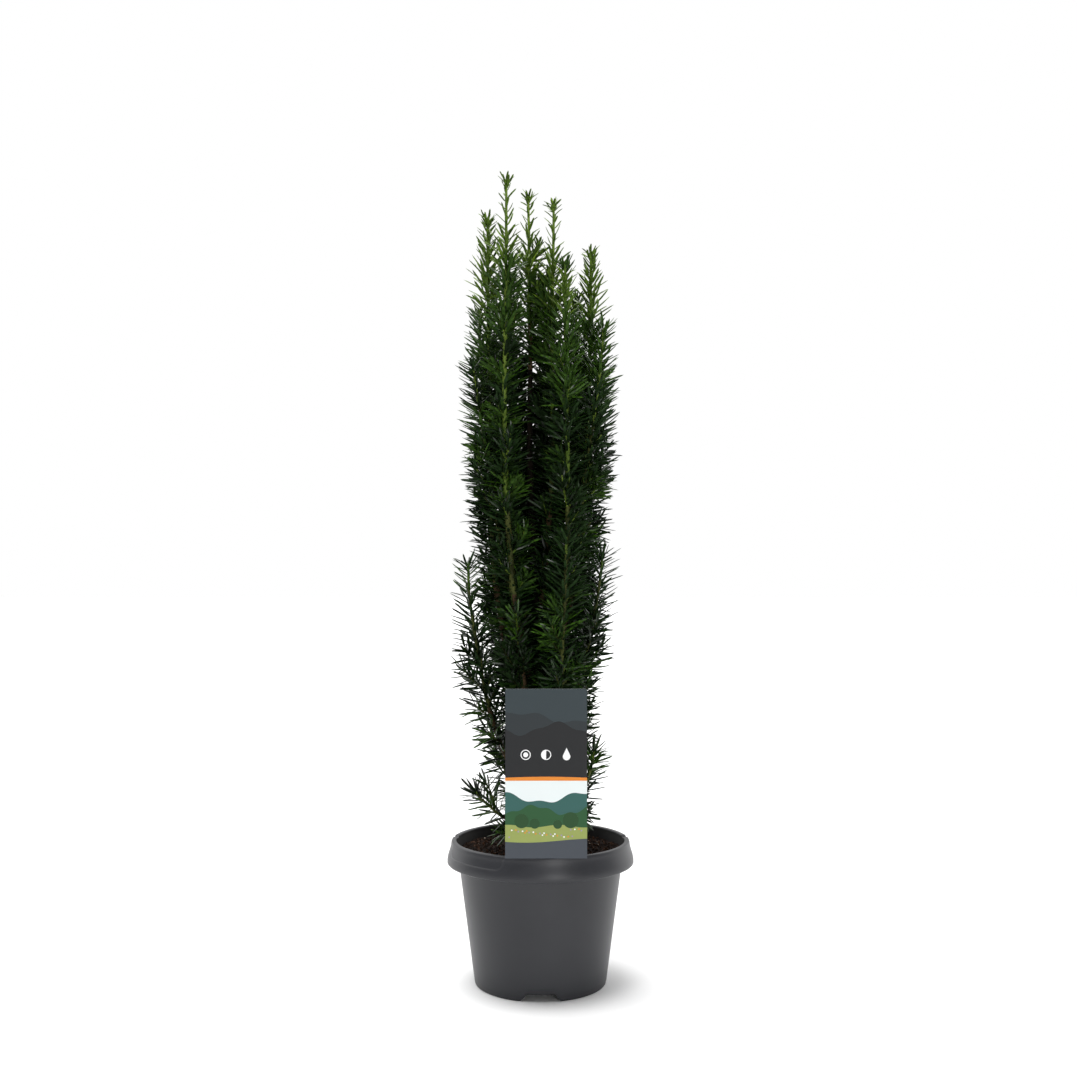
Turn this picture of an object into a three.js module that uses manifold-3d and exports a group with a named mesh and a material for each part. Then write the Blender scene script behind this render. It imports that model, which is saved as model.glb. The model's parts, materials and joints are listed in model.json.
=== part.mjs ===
// A young columnar english yew in its round nursery pot, with a card label hooked over its lip.
// Millimetres. +Z is up, the origin is on the floor under the pot's axis, and the label is at -Y.
import * as THREE from 'three';
import { mergeVertices } from 'three/addons/utils/BufferGeometryUtils.js';
import Module from 'manifold-3d';

const wasm = await Module();
wasm.setup();

// ---- Driving dimensions ----------------------------------------------------------------------

const GAP = 0.3; // left open between two solids that touch on the real plant

const POT = {
  sides: 48,
  height: 136.5,
  wall: 1.8,
  footRadius: 63.5, // outside of the flat ring it stands on
  footWidth: 5.5,
  bodyRadius: 79, // outside, where the body meets the collar
  collarRadius: 90.3, // widest place, at the collar's lower edge
  collarBottom: 114.5,
  grooveTop: 130, // of the hollow between the body and the collar
  lipRadius: 86.2,
  mouthRadius: 81.5,
  floorUnderside: 7.5,
};

const NOTCH = { azimuths: [270, 30, 150], wide: 39, narrow: 24, height: 6.8, depth: 20 };

const DRAIN = { count: 6, radius: 4.5, fromAxis: 40 };

const SOIL = { top: 127 };

const LABEL = {
  left: -32,
  right: 42,
  bottom: POT.height + 0.2, // level with the top of the lip, which it stands in front of
  top: 289,
  thickness: 0.8,
  face: -87.8, // Y of the printed front
  tongueWidth: 20,
  tongueJoint: 4, // height of the joint between it and the card's back
  tongueRoot: 10, // how far up the card's back it is joined on
  // Its way from the inner edge of the lip down the inside of the pot, as Y and Z.
  tonguePath: [[-79, 136.2], [-76.4, 129.5], [-72.8, 113], [-69.8, 86]],
  clearance: 8, // from the card's back to the nearest leaf
};

const TRUNK = {
  foot: [3, -1],
  top: [-10, 13, 598], // end of its bare wood
  leafyTip: [-12, 14, 770],
  // Share of its length, and its radius there.
  radii: [[0, 12], [0.03, 8.8], [0.09, 7.4], [0.35, 5.2], [0.65, 3.6], [1, 2.2]],
  bow: 3, // how far it swings off the straight line
  flareLobes: 5,
  flareDepth: 0.16, // of the radius, at soil level
  sides: 10,
};

const STEM = {
  tipRadius: 1.1,
  radiusPerLength: 0.0047, // added at the foot, for each millimetre of the shoot
  sway: 3,
  limbSides: 6,
  limbStep: 26,
};

const TWIG = {
  every: 120,
  fewest: 1,
  highest: 0.82, // share of its stem above which none grows
  sidesTried: 3,
  length: 40,
  radius: 2.6,
  lean: 46,
  leanAtTip: 20,
};

const CORE = { radius: 4.4, swell: 0.12, full: 0.5, atTip: 2.2, step: 42 };

const NEEDLE = {
  every: 22, // from whorl to whorl
  inWhorl: 4,
  inTwigWhorl: 3,
  length: 27, // from the stem's surface
  shorter: [1, 0.8, 0.6, 0.4], // parts of that length that are tried before one is left out
  rootThickness: 3,
  leanAtFoot: 84, // degrees from the stem
  leanAtTip: 46,
  leanSpread: 14,
  bud: 9, // from the last whorl's root to the stem's point
};

const CROWN = {
  reach: 89, // no needle passes this far from the pot's axis in X or Y
  overSoil: 69.5, // from the axis: further out the lip is what leaves have to clear
  overFloor: 2, // kept over the soil or the lip, and around the card
};

// Each shoot is a limb of bare wood that runs on as a leafy stem. foot is the height at which it
// leaves its parent, bare the share of its length without leaves, tip its end, and upright says
// how soon it turns from leaning to rising, 1 keeping it straight.
const SHOOTS = [
  { name: 'front_tall', parent: 'trunk', foot: 168, bare: 0.13, tip: [-33, -32, 772], upright: 3.8 },
  { name: 'left_tall', parent: 'trunk', foot: 206, bare: 0.13, tip: [-52, -4, 743], upright: 4.2 },
  { name: 'centre_tall', parent: 'trunk', foot: 330, bare: 0.08, tip: [13, -7, 756], upright: 2.6 },
  { name: 'right_tall', parent: 'trunk', foot: 192, bare: 0.15, tip: [50, 4, 712], upright: 2.4 },
  { name: 'front_right', parent: 'trunk', foot: 156, bare: 0.17, tip: [24, -34, 690], upright: 4.4 },
  { name: 'right_upper', parent: 'trunk', foot: 226, bare: 0.13, tip: [61, -20, 632], upright: 1.3 },
  { name: 'right_back', parent: 'trunk', foot: 248, bare: 0.13, tip: [61, 28, 598], upright: 1.5 },
  { name: 'left_upper', parent: 'trunk', foot: 262, bare: 0.12, tip: [-61, 16, 655], upright: 1.7 },
  { name: 'left_middle', parent: 'trunk', foot: 226, bare: 0.14, tip: [-65, -22, 592], upright: 1.1 },
  { name: 'back_left', parent: 'trunk', foot: 184, bare: 0.16, tip: [-30, 42, 694], upright: 4 },
  { name: 'back_middle', parent: 'trunk', foot: 216, bare: 0.15, tip: [8, 48, 663], upright: 4 },
  { name: 'back_right', parent: 'trunk', foot: 272, bare: 0.12, tip: [36, 34, 673], upright: 3.4 },
  { name: 'back_far', parent: 'back_middle', foot: 236, bare: 0.14, tip: [-10, 68, 560], upright: 2.4 },
  { name: 'front_low', parent: 'trunk', foot: 150, bare: 0.22, tip: [24, -52, 428], upright: 3 },
  { name: 'left_low', parent: 'trunk', foot: 146, bare: 0.24, tip: [-70, -16, 402], upright: 2 },
  { name: 'left_low_back', parent: 'trunk', foot: 160, bare: 0.24, tip: [-38, 48, 450], upright: 2.4 },
  { name: 'right_low', parent: 'trunk', foot: 143, bare: 0.24, tip: [60, -14, 412], upright: 1.3 },
  { name: 'right_low_back', parent: 'trunk', foot: 174, bare: 0.24, tip: [44, 46, 464], upright: 2.4 },
  { name: 'back_low', parent: 'trunk', foot: 152, bare: 0.22, tip: [-6, 66, 380], upright: 2.6 },
  { name: 'foot_left', parent: 'trunk', foot: 139, bare: 0.22, tip: [-62, -24, 186], upright: 1.4 },
  { name: 'foot_right', parent: 'trunk', foot: 141, bare: 0.22, tip: [51, -22, 224], upright: 1.8 },
  { name: 'foot_back_left', parent: 'trunk', foot: 143, bare: 0.22, tip: [-40, 50, 226], upright: 1.8 },
  { name: 'foot_back_right', parent: 'trunk', foot: 145, bare: 0.22, tip: [44, 46, 240], upright: 1.8 },
  { name: 'foot_front', parent: 'trunk', foot: 148, bare: 0.22, tip: [-14, -56, 262], upright: 1.8 },
];

const COLOUR = {
  pot: '#45464a',
  soil: '#231812',
  label: '#4b5356',
  bark: '#5b4130',
  leaf: '#24401f',
};

// ---- Small tools -------------------------------------------------------------------------------

const radians = THREE.MathUtils.degToRad;

// A repeatable stream of numbers between 0 and 1.
function seeded(seed) {
  let state = seed * 7919 + 17;
  return () => {
    state = (state * 1664525 + 1013904223) % 4294967296;
    return state / 4294967296;
  };
}

// Linear reading of a [[x, y], ...] list.
function readTable(rows, x) {
  let k = 1;
  while (k < rows.length - 1 && rows[k][0] < x) k += 1;
  const [x0, y0] = rows[k - 1];
  const [x1, y1] = rows[k];
  return y0 + ((y1 - y0) * (x - x0)) / (x1 - x0);
}

function solidOf(geometry) {
  const bare = geometry.clone();
  bare.deleteAttribute('normal');
  bare.deleteAttribute('uv');
  const merged = mergeVertices(bare, 1e-4);
  return new wasm.Manifold(new wasm.Mesh({
    numProp: 3,
    vertProperties: new Float32Array(merged.attributes.position.array),
    triVerts: new Uint32Array(merged.index.array),
  }));
}

function solidOfFaces(points, faces) {
  const geometry = new THREE.BufferGeometry();
  geometry.setAttribute('position', new THREE.Float32BufferAttribute(points.flat(), 3));
  geometry.setIndex(faces.flat());
  return solidOf(geometry);
}

// The largest single body of a solid, with slivers finer than the model's own rounding removed.
function mainBody(solid) {
  const bodies = solid.simplify(0.005).decompose();
  return bodies.reduce((best, body) => (body.volume() > best.volume() ? body : best));
}

function geometryOf(solid) {
  const mesh = solid.getMesh();
  const geometry = new THREE.BufferGeometry();
  geometry.setAttribute('position', new THREE.Float32BufferAttribute(mesh.vertProperties, 3));
  geometry.setIndex(new THREE.Uint32BufferAttribute(mesh.triVerts, 1));
  geometry.computeVertexNormals();
  return geometry;
}

// Two directions square to a path's direction, steady for a path that keeps its general heading.
function sideways(direction, chord) {
  const reference = Math.abs(chord.x) > Math.abs(chord.y)
    ? new THREE.Vector3(0, 1, 0)
    : new THREE.Vector3(1, 0, 0);
  const a = new THREE.Vector3().crossVectors(direction, reference).normalize();
  const b = new THREE.Vector3().crossVectors(direction, a).normalize();
  return [a, b];
}

// A closed tapering tube along a path, with flat ends square to its directions there. A path is
// { points, radii, directions }.
function tube({ points, radii, directions }, sides, lobes = () => 1) {
  const chord = points.at(-1).clone().sub(points[0]);
  const corners = [];
  points.forEach((point, k) => {
    const [a, b] = sideways(directions[k], chord);
    for (let s = 0; s < sides; s += 1) {
      const angle = (2 * Math.PI * s) / sides;
      const radius = radii[k] * lobes(angle, k);
      const corner = point.clone();
      corner.addScaledVector(a, radius * Math.cos(angle));
      corner.addScaledVector(b, radius * Math.sin(angle));
      corners.push(corner.toArray());
    }
  });
  const faces = [];
  const last = (points.length - 1) * sides;
  for (let k = 0; k < points.length - 1; k += 1) {
    for (let s = 0; s < sides; s += 1) {
      const here = k * sides + s;
      const next = k * sides + ((s + 1) % sides);
      faces.push([here, next, next + sides], [here, next + sides, here + sides]);
    }
  }
  for (let s = 1; s < sides - 1; s += 1) {
    faces.push([0, s + 1, s], [last, last + s, last + s + 1]);
  }
  return solidOfFaces(corners, faces);
}

const group = new THREE.Group();

function addPart(name, geometry, colour, roughness) {
  const material = new THREE.MeshStandardMaterial({ color: colour, roughness, metalness: 0 });
  const mesh = new THREE.Mesh(geometry, material);
  mesh.name = name;
  group.add(mesh);
}

// ---- Pot: injection-moulded, with a turned-down collar, a foot ring and drain holes -----------

function potRadius(z) {
  return POT.footRadius + ((POT.bodyRadius - POT.footRadius) * z) / POT.collarBottom;
}

function potInnerRadius(z) {
  if (z <= POT.collarBottom) return potRadius(z) - POT.wall;
  const inside = POT.bodyRadius - POT.wall;
  const share = (z - POT.collarBottom) / (POT.height - POT.collarBottom);
  return inside + (POT.mouthRadius - inside) * share;
}

function potGeometry() {
  const floor = POT.floorUnderside + POT.wall;
  const footInside = POT.footRadius - POT.footWidth;
  const outline = [
    [0, POT.floorUnderside],
    [footInside - 1.5, POT.floorUnderside],
    [footInside, 0],
    [POT.footRadius - 1.5, 0],
    [potRadius(1.5), 1.5],
    [POT.bodyRadius, POT.collarBottom],
    [POT.mouthRadius + 0.6, POT.grooveTop],
    [POT.mouthRadius + 1.8, POT.grooveTop],
    [POT.collarRadius - 2.3, POT.collarBottom + 1],
    [POT.collarRadius - 1.5, POT.collarBottom],
    [POT.collarRadius - 0.5, POT.collarBottom + 0.5],
    [POT.collarRadius, POT.collarBottom + 2.5],
    [POT.collarRadius - 0.4, POT.collarBottom + 6],
    [POT.collarRadius - 2.2, POT.collarBottom + 12],
    [POT.lipRadius + 0.7, POT.height - 5],
    [POT.lipRadius, POT.height - 0.6],
    [POT.lipRadius - 0.6, POT.height],
    [POT.mouthRadius, POT.height],
    [potInnerRadius(POT.collarBottom), POT.collarBottom],
    [potInnerRadius(floor + 2), floor + 2],
    [potInnerRadius(floor) - 2, floor],
    [0, floor],
  ];
  const profile = outline.map(([r, z]) => new THREE.Vector2(r, z));
  const lathe = new THREE.LatheGeometry(profile, POT.sides);
  lathe.rotateX(Math.PI / 2);
  let pot = solidOf(lathe);
  for (const azimuth of NOTCH.azimuths) pot = pot.subtract(notchCutter(azimuth));
  for (let k = 0; k < DRAIN.count; k += 1) {
    pot = pot.subtract(drainCutter((360 * (k + 0.5)) / DRAIN.count));
  }
  return geometryOf(mainBody(pot));
}

// A gap in the foot ring, with S-shaped shoulders, that lets water out from under the pot.
function notchCutter(azimuth) {
  const half = NOTCH.wide / 2;
  const inner = NOTCH.narrow / 2;
  const middle = (half + inner) / 2;
  const { height } = NOTCH;
  const shape = new THREE.Shape();
  shape.moveTo(-half - 2, -1);
  shape.lineTo(-half, 0);
  shape.quadraticCurveTo(-middle - 1, 0.5, -middle, height / 2);
  shape.quadraticCurveTo(-middle + 1, height - 0.4, -inner, height);
  shape.lineTo(inner, height);
  shape.quadraticCurveTo(middle - 1, height - 0.4, middle, height / 2);
  shape.quadraticCurveTo(middle + 1, 0.5, half, 0);
  shape.lineTo(half + 2, -1);
  const cutter = new THREE.ExtrudeGeometry(shape, {
    depth: NOTCH.depth,
    bevelEnabled: false,
    curveSegments: 2,
  });
  cutter.translate(0, 0, POT.footRadius + 5 - NOTCH.depth);
  cutter.rotateX(Math.PI / 2); // the shape's Y becomes Z, its depth runs along -Y
  cutter.rotateZ(radians(azimuth - 270));
  return solidOf(cutter);
}

function drainCutter(azimuth) {
  const cutter = new THREE.CylinderGeometry(DRAIN.radius, DRAIN.radius, 10, 8);
  cutter.rotateX(Math.PI / 2);
  const angle = radians(azimuth);
  cutter.translate(
    DRAIN.fromAxis * Math.cos(angle),
    DRAIN.fromAxis * Math.sin(angle),
    POT.floorUnderside,
  );
  return solidOf(cutter);
}

// ---- Label: a flat card in front of the lip, on a tongue hooked over it and down into the soil --

// The strip's path is in the Y-Z plane: back over the lip, then down along the pot's wall.
function labelTongue(margin) {
  const half = LABEL.thickness / 2 + margin;
  const middle = LABEL.face + LABEL.thickness / 2;
  const path = [
    [middle, LABEL.bottom + LABEL.tongueRoot + LABEL.tongueJoint],
    [middle, LABEL.bottom + LABEL.tongueRoot],
    ...LABEL.tonguePath,
  ];
  path.push([path.at(-1)[0], path.at(-1)[1] - margin - 0.1]);
  const front = path.map(([y, z]) => new THREE.Vector2(y - half, z));
  const back = path.map(([y, z]) => new THREE.Vector2(y + half, z)).reverse();
  const strip = new THREE.ExtrudeGeometry(new THREE.Shape([...front, ...back]), {
    depth: LABEL.tongueWidth + 2 * margin,
    bevelEnabled: false,
  });
  // The shape's X and Y become Y and Z, and its depth runs along X.
  strip.applyMatrix4(new THREE.Matrix4().makeBasis(
    new THREE.Vector3(0, 1, 0),
    new THREE.Vector3(0, 0, 1),
    new THREE.Vector3(1, 0, 0),
  ));
  strip.translate((LABEL.left + LABEL.right - LABEL.tongueWidth) / 2 - margin, 0, 0);
  return solidOf(strip);
}

function labelGeometry() {
  const width = LABEL.right - LABEL.left;
  const height = LABEL.top - LABEL.bottom;
  const card = new THREE.BoxGeometry(width, LABEL.thickness, height);
  card.translate(
    (LABEL.left + LABEL.right) / 2,
    LABEL.face + LABEL.thickness / 2,
    (LABEL.top + LABEL.bottom) / 2,
  );
  return geometryOf(mainBody(solidOf(card).add(labelTongue(0))));
}

// ---- Soil: the compost that fills the pot, flat on top and cut clear of the label's tongue -----

function soilGeometry() {
  const bottom = POT.floorUnderside + POT.wall + GAP;
  const outline = [
    [0, bottom],
    [potInnerRadius(bottom) - 3, bottom],
    [potInnerRadius(bottom + 3) - 2 * GAP, bottom + 3],
    [potInnerRadius(POT.collarBottom) - 2 * GAP, POT.collarBottom],
    [potInnerRadius(SOIL.top) - 2 * GAP, SOIL.top],
    [0, SOIL.top],
  ];
  const profile = outline.map(([r, z]) => new THREE.Vector2(r, z));
  const lathe = new THREE.LatheGeometry(profile, POT.sides);
  lathe.rotateX(Math.PI / 2);
  return geometryOf(mainBody(solidOf(lathe).subtract(labelTongue(GAP))));
}

// ---- Trunk and limbs ---------------------------------------------------------------------------

const trunkFoot = SOIL.top + GAP;
const trunkLength = TRUNK.top[2] - trunkFoot;

function trunkPoint(z) {
  const share = (z - trunkFoot) / trunkLength;
  const bow = TRUNK.bow * Math.sin(2 * Math.PI * share);
  return new THREE.Vector3(
    TRUNK.foot[0] + (TRUNK.top[0] - TRUNK.foot[0]) * share + bow,
    TRUNK.foot[1] + (TRUNK.top[1] - TRUNK.foot[1]) * share - bow,
    z,
  );
}

function trunkRadius(z) {
  return readTable(TRUNK.radii, (z - trunkFoot) / trunkLength);
}

function trunkSolid(margin) {
  const shares = [0, 0.012, 0.03, 0.06, 0.09, 0.16, 0.25, 0.35, 0.5, 0.65, 0.82, 1];
  const points = shares.map((share) => trunkPoint(trunkFoot + share * trunkLength));
  const radii = points.map((point) => trunkRadius(point.z) + margin);
  const upwards = points.map(() => new THREE.Vector3(0, 0, 1)); // so that the cut on the soil is level
  points[0].z -= margin;
  const lobes = (angle, k) => {
    const fade = Math.max(0, 1 - shares[k] / 0.06);
    return 1 + TRUNK.flareDepth * fade * Math.cos(TRUNK.flareLobes * angle);
  };
  return tube({ points, radii, directions: upwards }, TRUNK.sides, lobes);
}

const shootNamed = Object.fromEntries(SHOOTS.map((shoot) => [shoot.name, shoot]));

// A shoot's axis. share runs from 0 at the parent's axis to 1 at the tip.
function shootPoint(shoot, share) {
  const tip = new THREE.Vector3(...shoot.tip);
  const foot = footOf(shoot);
  const spread = 1 - Math.max(0, 1 - share) ** shoot.upright;
  const turn = SHOOTS.indexOf(shoot) * 2.4 + 5 * share;
  const sway = STEM.sway * Math.sin(Math.PI * share) ** 2;
  return new THREE.Vector3(
    foot.x + (tip.x - foot.x) * spread + sway * Math.cos(turn),
    foot.y + (tip.y - foot.y) * spread + sway * Math.sin(turn),
    foot.z + (tip.z - foot.z) * share,
  );
}

function footOf(shoot) {
  if (shoot.parent === 'trunk') return trunkPoint(shoot.foot);
  const parent = shootNamed[shoot.parent];
  return shootPoint(parent, (shoot.foot - parent.foot) / (parent.tip[2] - parent.foot));
}

function shootRadius(shoot, share) {
  const length = shootPoint(shoot, 0).distanceTo(new THREE.Vector3(...shoot.tip));
  return STEM.tipRadius + STEM.radiusPerLength * length * (1 - share);
}

function shootDirection(shoot, share) {
  const from = Math.max(0, share - 0.005);
  const to = Math.min(1, share + 0.005);
  return shootPoint(shoot, to).sub(shootPoint(shoot, from)).normalize();
}

function shootStretch(shoot, from, to, step) {
  const length = (to - from) * shootPoint(shoot, from).distanceTo(shootPoint(shoot, to));
  const count = Math.max(3, Math.ceil(length / step));
  const shares = Array.from({ length: count + 1 }, (_, k) => from + ((to - from) * k) / count);
  return {
    points: shares.map((share) => shootPoint(shoot, share)),
    radii: shares.map((share) => shootRadius(shoot, share)),
    directions: shares.map((share) => shootDirection(shoot, share)),
  };
}

// What a shoot springs from, as a solid grown by GAP, for cutting the shoot's foot to it.
function parentSolid(shoot) {
  if (shoot.parent === 'trunk') return trunkSolid(GAP);
  const parent = shootNamed[shoot.parent];
  const path = shootStretch(parent, 0, parent.bare, STEM.limbStep);
  path.radii = path.radii.map((radius) => radius + GAP);
  return tube(path, STEM.limbSides);
}

function limbGeometry(shoot) {
  const limb = tube(shootStretch(shoot, 0, shoot.bare, STEM.limbStep), STEM.limbSides);
  return geometryOf(mainBody(limb.subtract(parentSolid(shoot))));
}

// ---- Room: each foliage mass keeps to the space that is nearer to its own stems ----------------

function distanceToSegment(p, a, b) {
  const along = b.clone().sub(a);
  const share = THREE.MathUtils.clamp(p.clone().sub(a).dot(along) / along.lengthSq(), 0, 1);
  return { distance: p.distanceTo(a.clone().addScaledVector(along, share)), share };
}

const woodSegments = []; // the trunk and the bare limbs
const leafySegments = []; // the stems and twigs of every mass

function addSegments(list, points, radii, owner) {
  for (let k = 0; k < points.length - 1; k += 1) {
    list.push({ a: points[k], b: points[k + 1], ra: radii[k], rb: radii[k + 1], owner });
  }
}

// Whether a ball lies inside the crown's reach, over the soil or the lip, and behind the card.
function insideLimits(p, half) {
  if (Math.max(Math.abs(p.x), Math.abs(p.y)) + half > CROWN.reach) return false;
  const floor = Math.hypot(p.x, p.y) > CROWN.overSoil ? POT.height : SOIL.top;
  if (p.z - half < floor + CROWN.overFloor) return false;
  const margin = half + CROWN.overFloor;
  const besideCard = p.x + margin < LABEL.left || p.x - margin > LABEL.right;
  const overCard = p.z - margin > LABEL.top;
  return besideCard || overCard || p.y - half > LABEL.face + LABEL.thickness + LABEL.clearance;
}

function hasRoom(p, half, owner) {
  if (!insideLimits(p, half)) return false;
  for (const { a, b, ra, rb } of woodSegments) {
    const { distance, share } = distanceToSegment(p, a, b);
    if (distance - ra - (rb - ra) * share < half + GAP) return false;
  }
  let own = Infinity;
  let other = Infinity;
  for (const segment of leafySegments) {
    const { distance } = distanceToSegment(p, segment.a, segment.b);
    if (segment.owner === owner) own = Math.min(own, distance);
    else other = Math.min(other, distance);
  }
  return other > own + 2 * half + GAP;
}

// ---- Foliage: one stem per mass with seeded twigs, and needles drawn out of both in whorls -----

function spanOf(list, share) {
  const place = share * (list.length - 1);
  const k = Math.min(Math.floor(place), list.length - 2);
  return [list[k], list[k + 1], place - k];
}

function pointOf(path, share) {
  const [here, next, part] = spanOf(path.points, share);
  return here.clone().lerp(next, part);
}

function directionOf(path, share) {
  const [here, next, part] = spanOf(path.directions, share);
  return here.clone().lerp(next, part).normalize();
}

function radiusOf(path, share) {
  const [here, next, part] = spanOf(path.radii, share);
  return here + (next - here) * part;
}

function lengthOf(path) {
  return path.points.slice(1).reduce((sum, point, k) => sum + point.distanceTo(path.points[k]), 0);
}

// A direction that leans away from another one, towards the side that turn picks.
function leaning(direction, [a, b], lean, turn) {
  const out = a.clone().multiplyScalar(Math.cos(turn)).addScaledVector(b, Math.sin(turn));
  return direction.clone().multiplyScalar(Math.cos(lean)).addScaledVector(out, Math.sin(lean));
}

// A twig is placed on the first side, of the few it tries, where it stays in its mass's own space.
function growTwigs(stem, owner, random) {
  const twigs = [];
  const count = Math.max(TWIG.fewest, Math.floor(lengthOf(stem) / TWIG.every));
  for (let k = 0; k < count; k += 1) {
    const share = (TWIG.highest * (k + 0.35 + 0.4 * random())) / count;
    const start = pointOf(stem, share);
    const direction = directionOf(stem, share);
    const sides = sideways(direction, direction);
    const firstTurn = 2 * Math.PI * random();
    const length = TWIG.length * (0.75 + 0.4 * random()) * (1 - 0.45 * share);
    for (let side = 0; side < TWIG.sidesTried; side += 1) {
      const turn = firstTurn + (2 * Math.PI * side) / TWIG.sidesTried;
      const leaving = leaning(direction, sides, radians(TWIG.lean), turn);
      const rising = leaning(direction, sides, radians(TWIG.leanAtTip), turn);
      const middle = start.clone().addScaledVector(leaving, length / 2);
      const end = middle.clone().addScaledVector(rising, length / 2);
      if (hasRoom(middle, TWIG.radius, owner) && hasRoom(end, TWIG.radius, owner)) {
        const twig = {
          points: [start, middle, end],
          radii: [TWIG.radius, TWIG.radius * 0.9, TWIG.radius * 0.6],
          directions: [leaving, leaving.clone().add(rising).normalize(), rising],
        };
        twigs.push(twig);
        addSegments(leafySegments, twig.points, twig.radii, owner);
        break;
      }
    }
  }
  return twigs;
}

// How long a needle can be: its full length or one of the shorter ones, and 0 where none fits.
function needleLength(root, out, fullLength, rootHalf, owner) {
  const fits = (length) => [0.35, 0.7, 1].every((share) => {
    const point = root.clone().addScaledVector(out, length * share);
    return hasRoom(point, rootHalf * (1 - share), owner);
  });
  return fullLength * (NEEDLE.shorter.find((part) => fits(fullLength * part)) ?? 0);
}

// A leafy stem as one closed solid: a tube with narrow bands, one for each whorl. Every side of a
// band is drawn out into a needle, and each whorl is turned against the one below.
function leafyStem(path, owner, sides, size, random) {
  const length = lengthOf(path);
  const chord = path.points.at(-1).clone().sub(path.points[0]);
  const count = Math.max(3, Math.round(length / NEEDLE.every));
  const corners = [];
  const faces = [];

  function addRing(share, turn) {
    const [a, b] = sideways(directionOf(path, share), chord);
    const first = corners.length;
    for (let s = 0; s < sides; s += 1) {
      const angle = turn + (2 * Math.PI * s) / sides;
      const corner = pointOf(path, share);
      corner.addScaledVector(a, radiusOf(path, share) * Math.cos(angle));
      corner.addScaledVector(b, radiusOf(path, share) * Math.sin(angle));
      corners.push(corner);
    }
    return first;
  }

  function addNeedle(quad, share, turn) {
    const root = quad.reduce((sum, k) => sum.add(corners[k]), new THREE.Vector3()).divideScalar(4);
    const direction = directionOf(path, share);
    const leanDegrees = NEEDLE.leanAtFoot + (NEEDLE.leanAtTip - NEEDLE.leanAtFoot) * share;
    const lean = radians(leanDegrees + NEEDLE.leanSpread * (random() - 0.5));
    const out = leaning(direction, sideways(direction, chord), lean, turn);
    const fullLength = NEEDLE.length * size * (1 - 0.3 * share) * (0.85 + 0.3 * random());
    const rootHalf = corners[quad[0]].distanceTo(corners[quad[1]]) / 2;
    corners.push(root.clone().addScaledVector(out, needleLength(root, out, fullLength, rootHalf, owner)));
    const tip = corners.length - 1;
    quad.forEach((corner, k) => faces.push([corner, quad[(k + 1) % 4], tip]));
  }

  const band = NEEDLE.rootThickness / length / 2;
  const step = (2 * Math.PI) / sides;
  let below = addRing(0, 0);
  for (let s = 1; s < sides - 1; s += 1) faces.push([below, below + s + 1, below + s]);
  for (let whorl = 0; whorl < count; whorl += 1) {
    const share = (whorl + 0.6) / count;
    const turn = (whorl % 2 === 0 ? 0 : step / 2) + 0.3 * (random() - 0.5);
    const low = addRing(share - band, turn);
    const high = addRing(share + band, turn);
    for (let s = 0; s < sides; s += 1) {
      const next = (s + 1) % sides;
      faces.push([below + s, below + next, low + next], [below + s, low + next, low + s]);
      addNeedle([low + s, low + next, high + next, high + s], share, turn + step * (s + 0.5));
    }
    below = high;
  }
  corners.push(path.points.at(-1).clone().addScaledVector(path.directions.at(-1), NEEDLE.bud));
  for (let s = 0; s < sides; s += 1) faces.push([below + s, below + ((s + 1) % sides), corners.length - 1]);
  return solidOfFaces(corners.map((corner) => corner.toArray()), faces);
}

// The needles' roots stand so close that the solid's stem is a little thicker than the wood in
// it. It stays thinner than half the way to any stem or limb of another owner.
function coreRadius(p, share, woodRadius, owner) {
  const swollen = woodRadius + (CORE.radius - woodRadius) * Math.min(1, share / CORE.swell);
  const fade = Math.max(0, (share - CORE.full) / (1 - CORE.full));
  let radius = swollen + (CORE.atTip - swollen) * fade;
  for (const { a, b, ra } of woodSegments) {
    radius = Math.min(radius, distanceToSegment(p, a, b).distance - ra - 1.5);
  }
  for (const { a, b } of leafySegments.filter((segment) => segment.owner !== owner)) {
    radius = Math.min(radius, distanceToSegment(p, a, b).distance / 2 - 1);
  }
  return share === 0 ? woodRadius : Math.max(radius, woodRadius);
}

// The stem of a mass starts GAP beyond the end of its bare limb.
function stemStart(shoot) {
  const ahead = shootPoint(shoot, shoot.bare + 0.01).distanceTo(shootPoint(shoot, shoot.bare));
  return shoot.bare + (0.01 * GAP) / ahead;
}

// The trunk's own leafy end, above its last bare wood.
function topStretch() {
  const start = trunkPoint(TRUNK.top[2]).add(new THREE.Vector3(0, 0, GAP));
  const tip = new THREE.Vector3(...TRUNK.leafyTip);
  const shares = [0, 0.2, 0.4, 0.6, 0.8, 1];
  const footRadius = TRUNK.radii.at(-1)[1];
  return {
    points: shares.map((share) => start.clone().lerp(tip, share)),
    radii: shares.map((share) => footRadius + (STEM.tipRadius - footRadius) * share),
    directions: shares.map(() => new THREE.Vector3(0, 0, 1)),
  };
}

// ---- Assembly ----------------------------------------------------------------------------------

addPart('pot', potGeometry(), COLOUR.pot, 0.55);
addPart('soil', soilGeometry(), COLOUR.soil, 0.95);
addPart('label', labelGeometry(), COLOUR.label, 0.35);
addPart('trunk', geometryOf(mainBody(trunkSolid(0))), COLOUR.bark, 0.85);

const trunkHeights = Array.from({ length: 25 }, (_, k) => trunkFoot + (trunkLength * k) / 24);
addSegments(woodSegments, trunkHeights.map(trunkPoint), trunkHeights.map(trunkRadius), 'trunk');

for (const shoot of SHOOTS) {
  addPart(`bough_${shoot.name}`, limbGeometry(shoot), COLOUR.bark, 0.85);
  const { points, radii } = shootStretch(shoot, 0, shoot.bare, 12);
  addSegments(woodSegments, points, radii, shoot.name);
}

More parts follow.
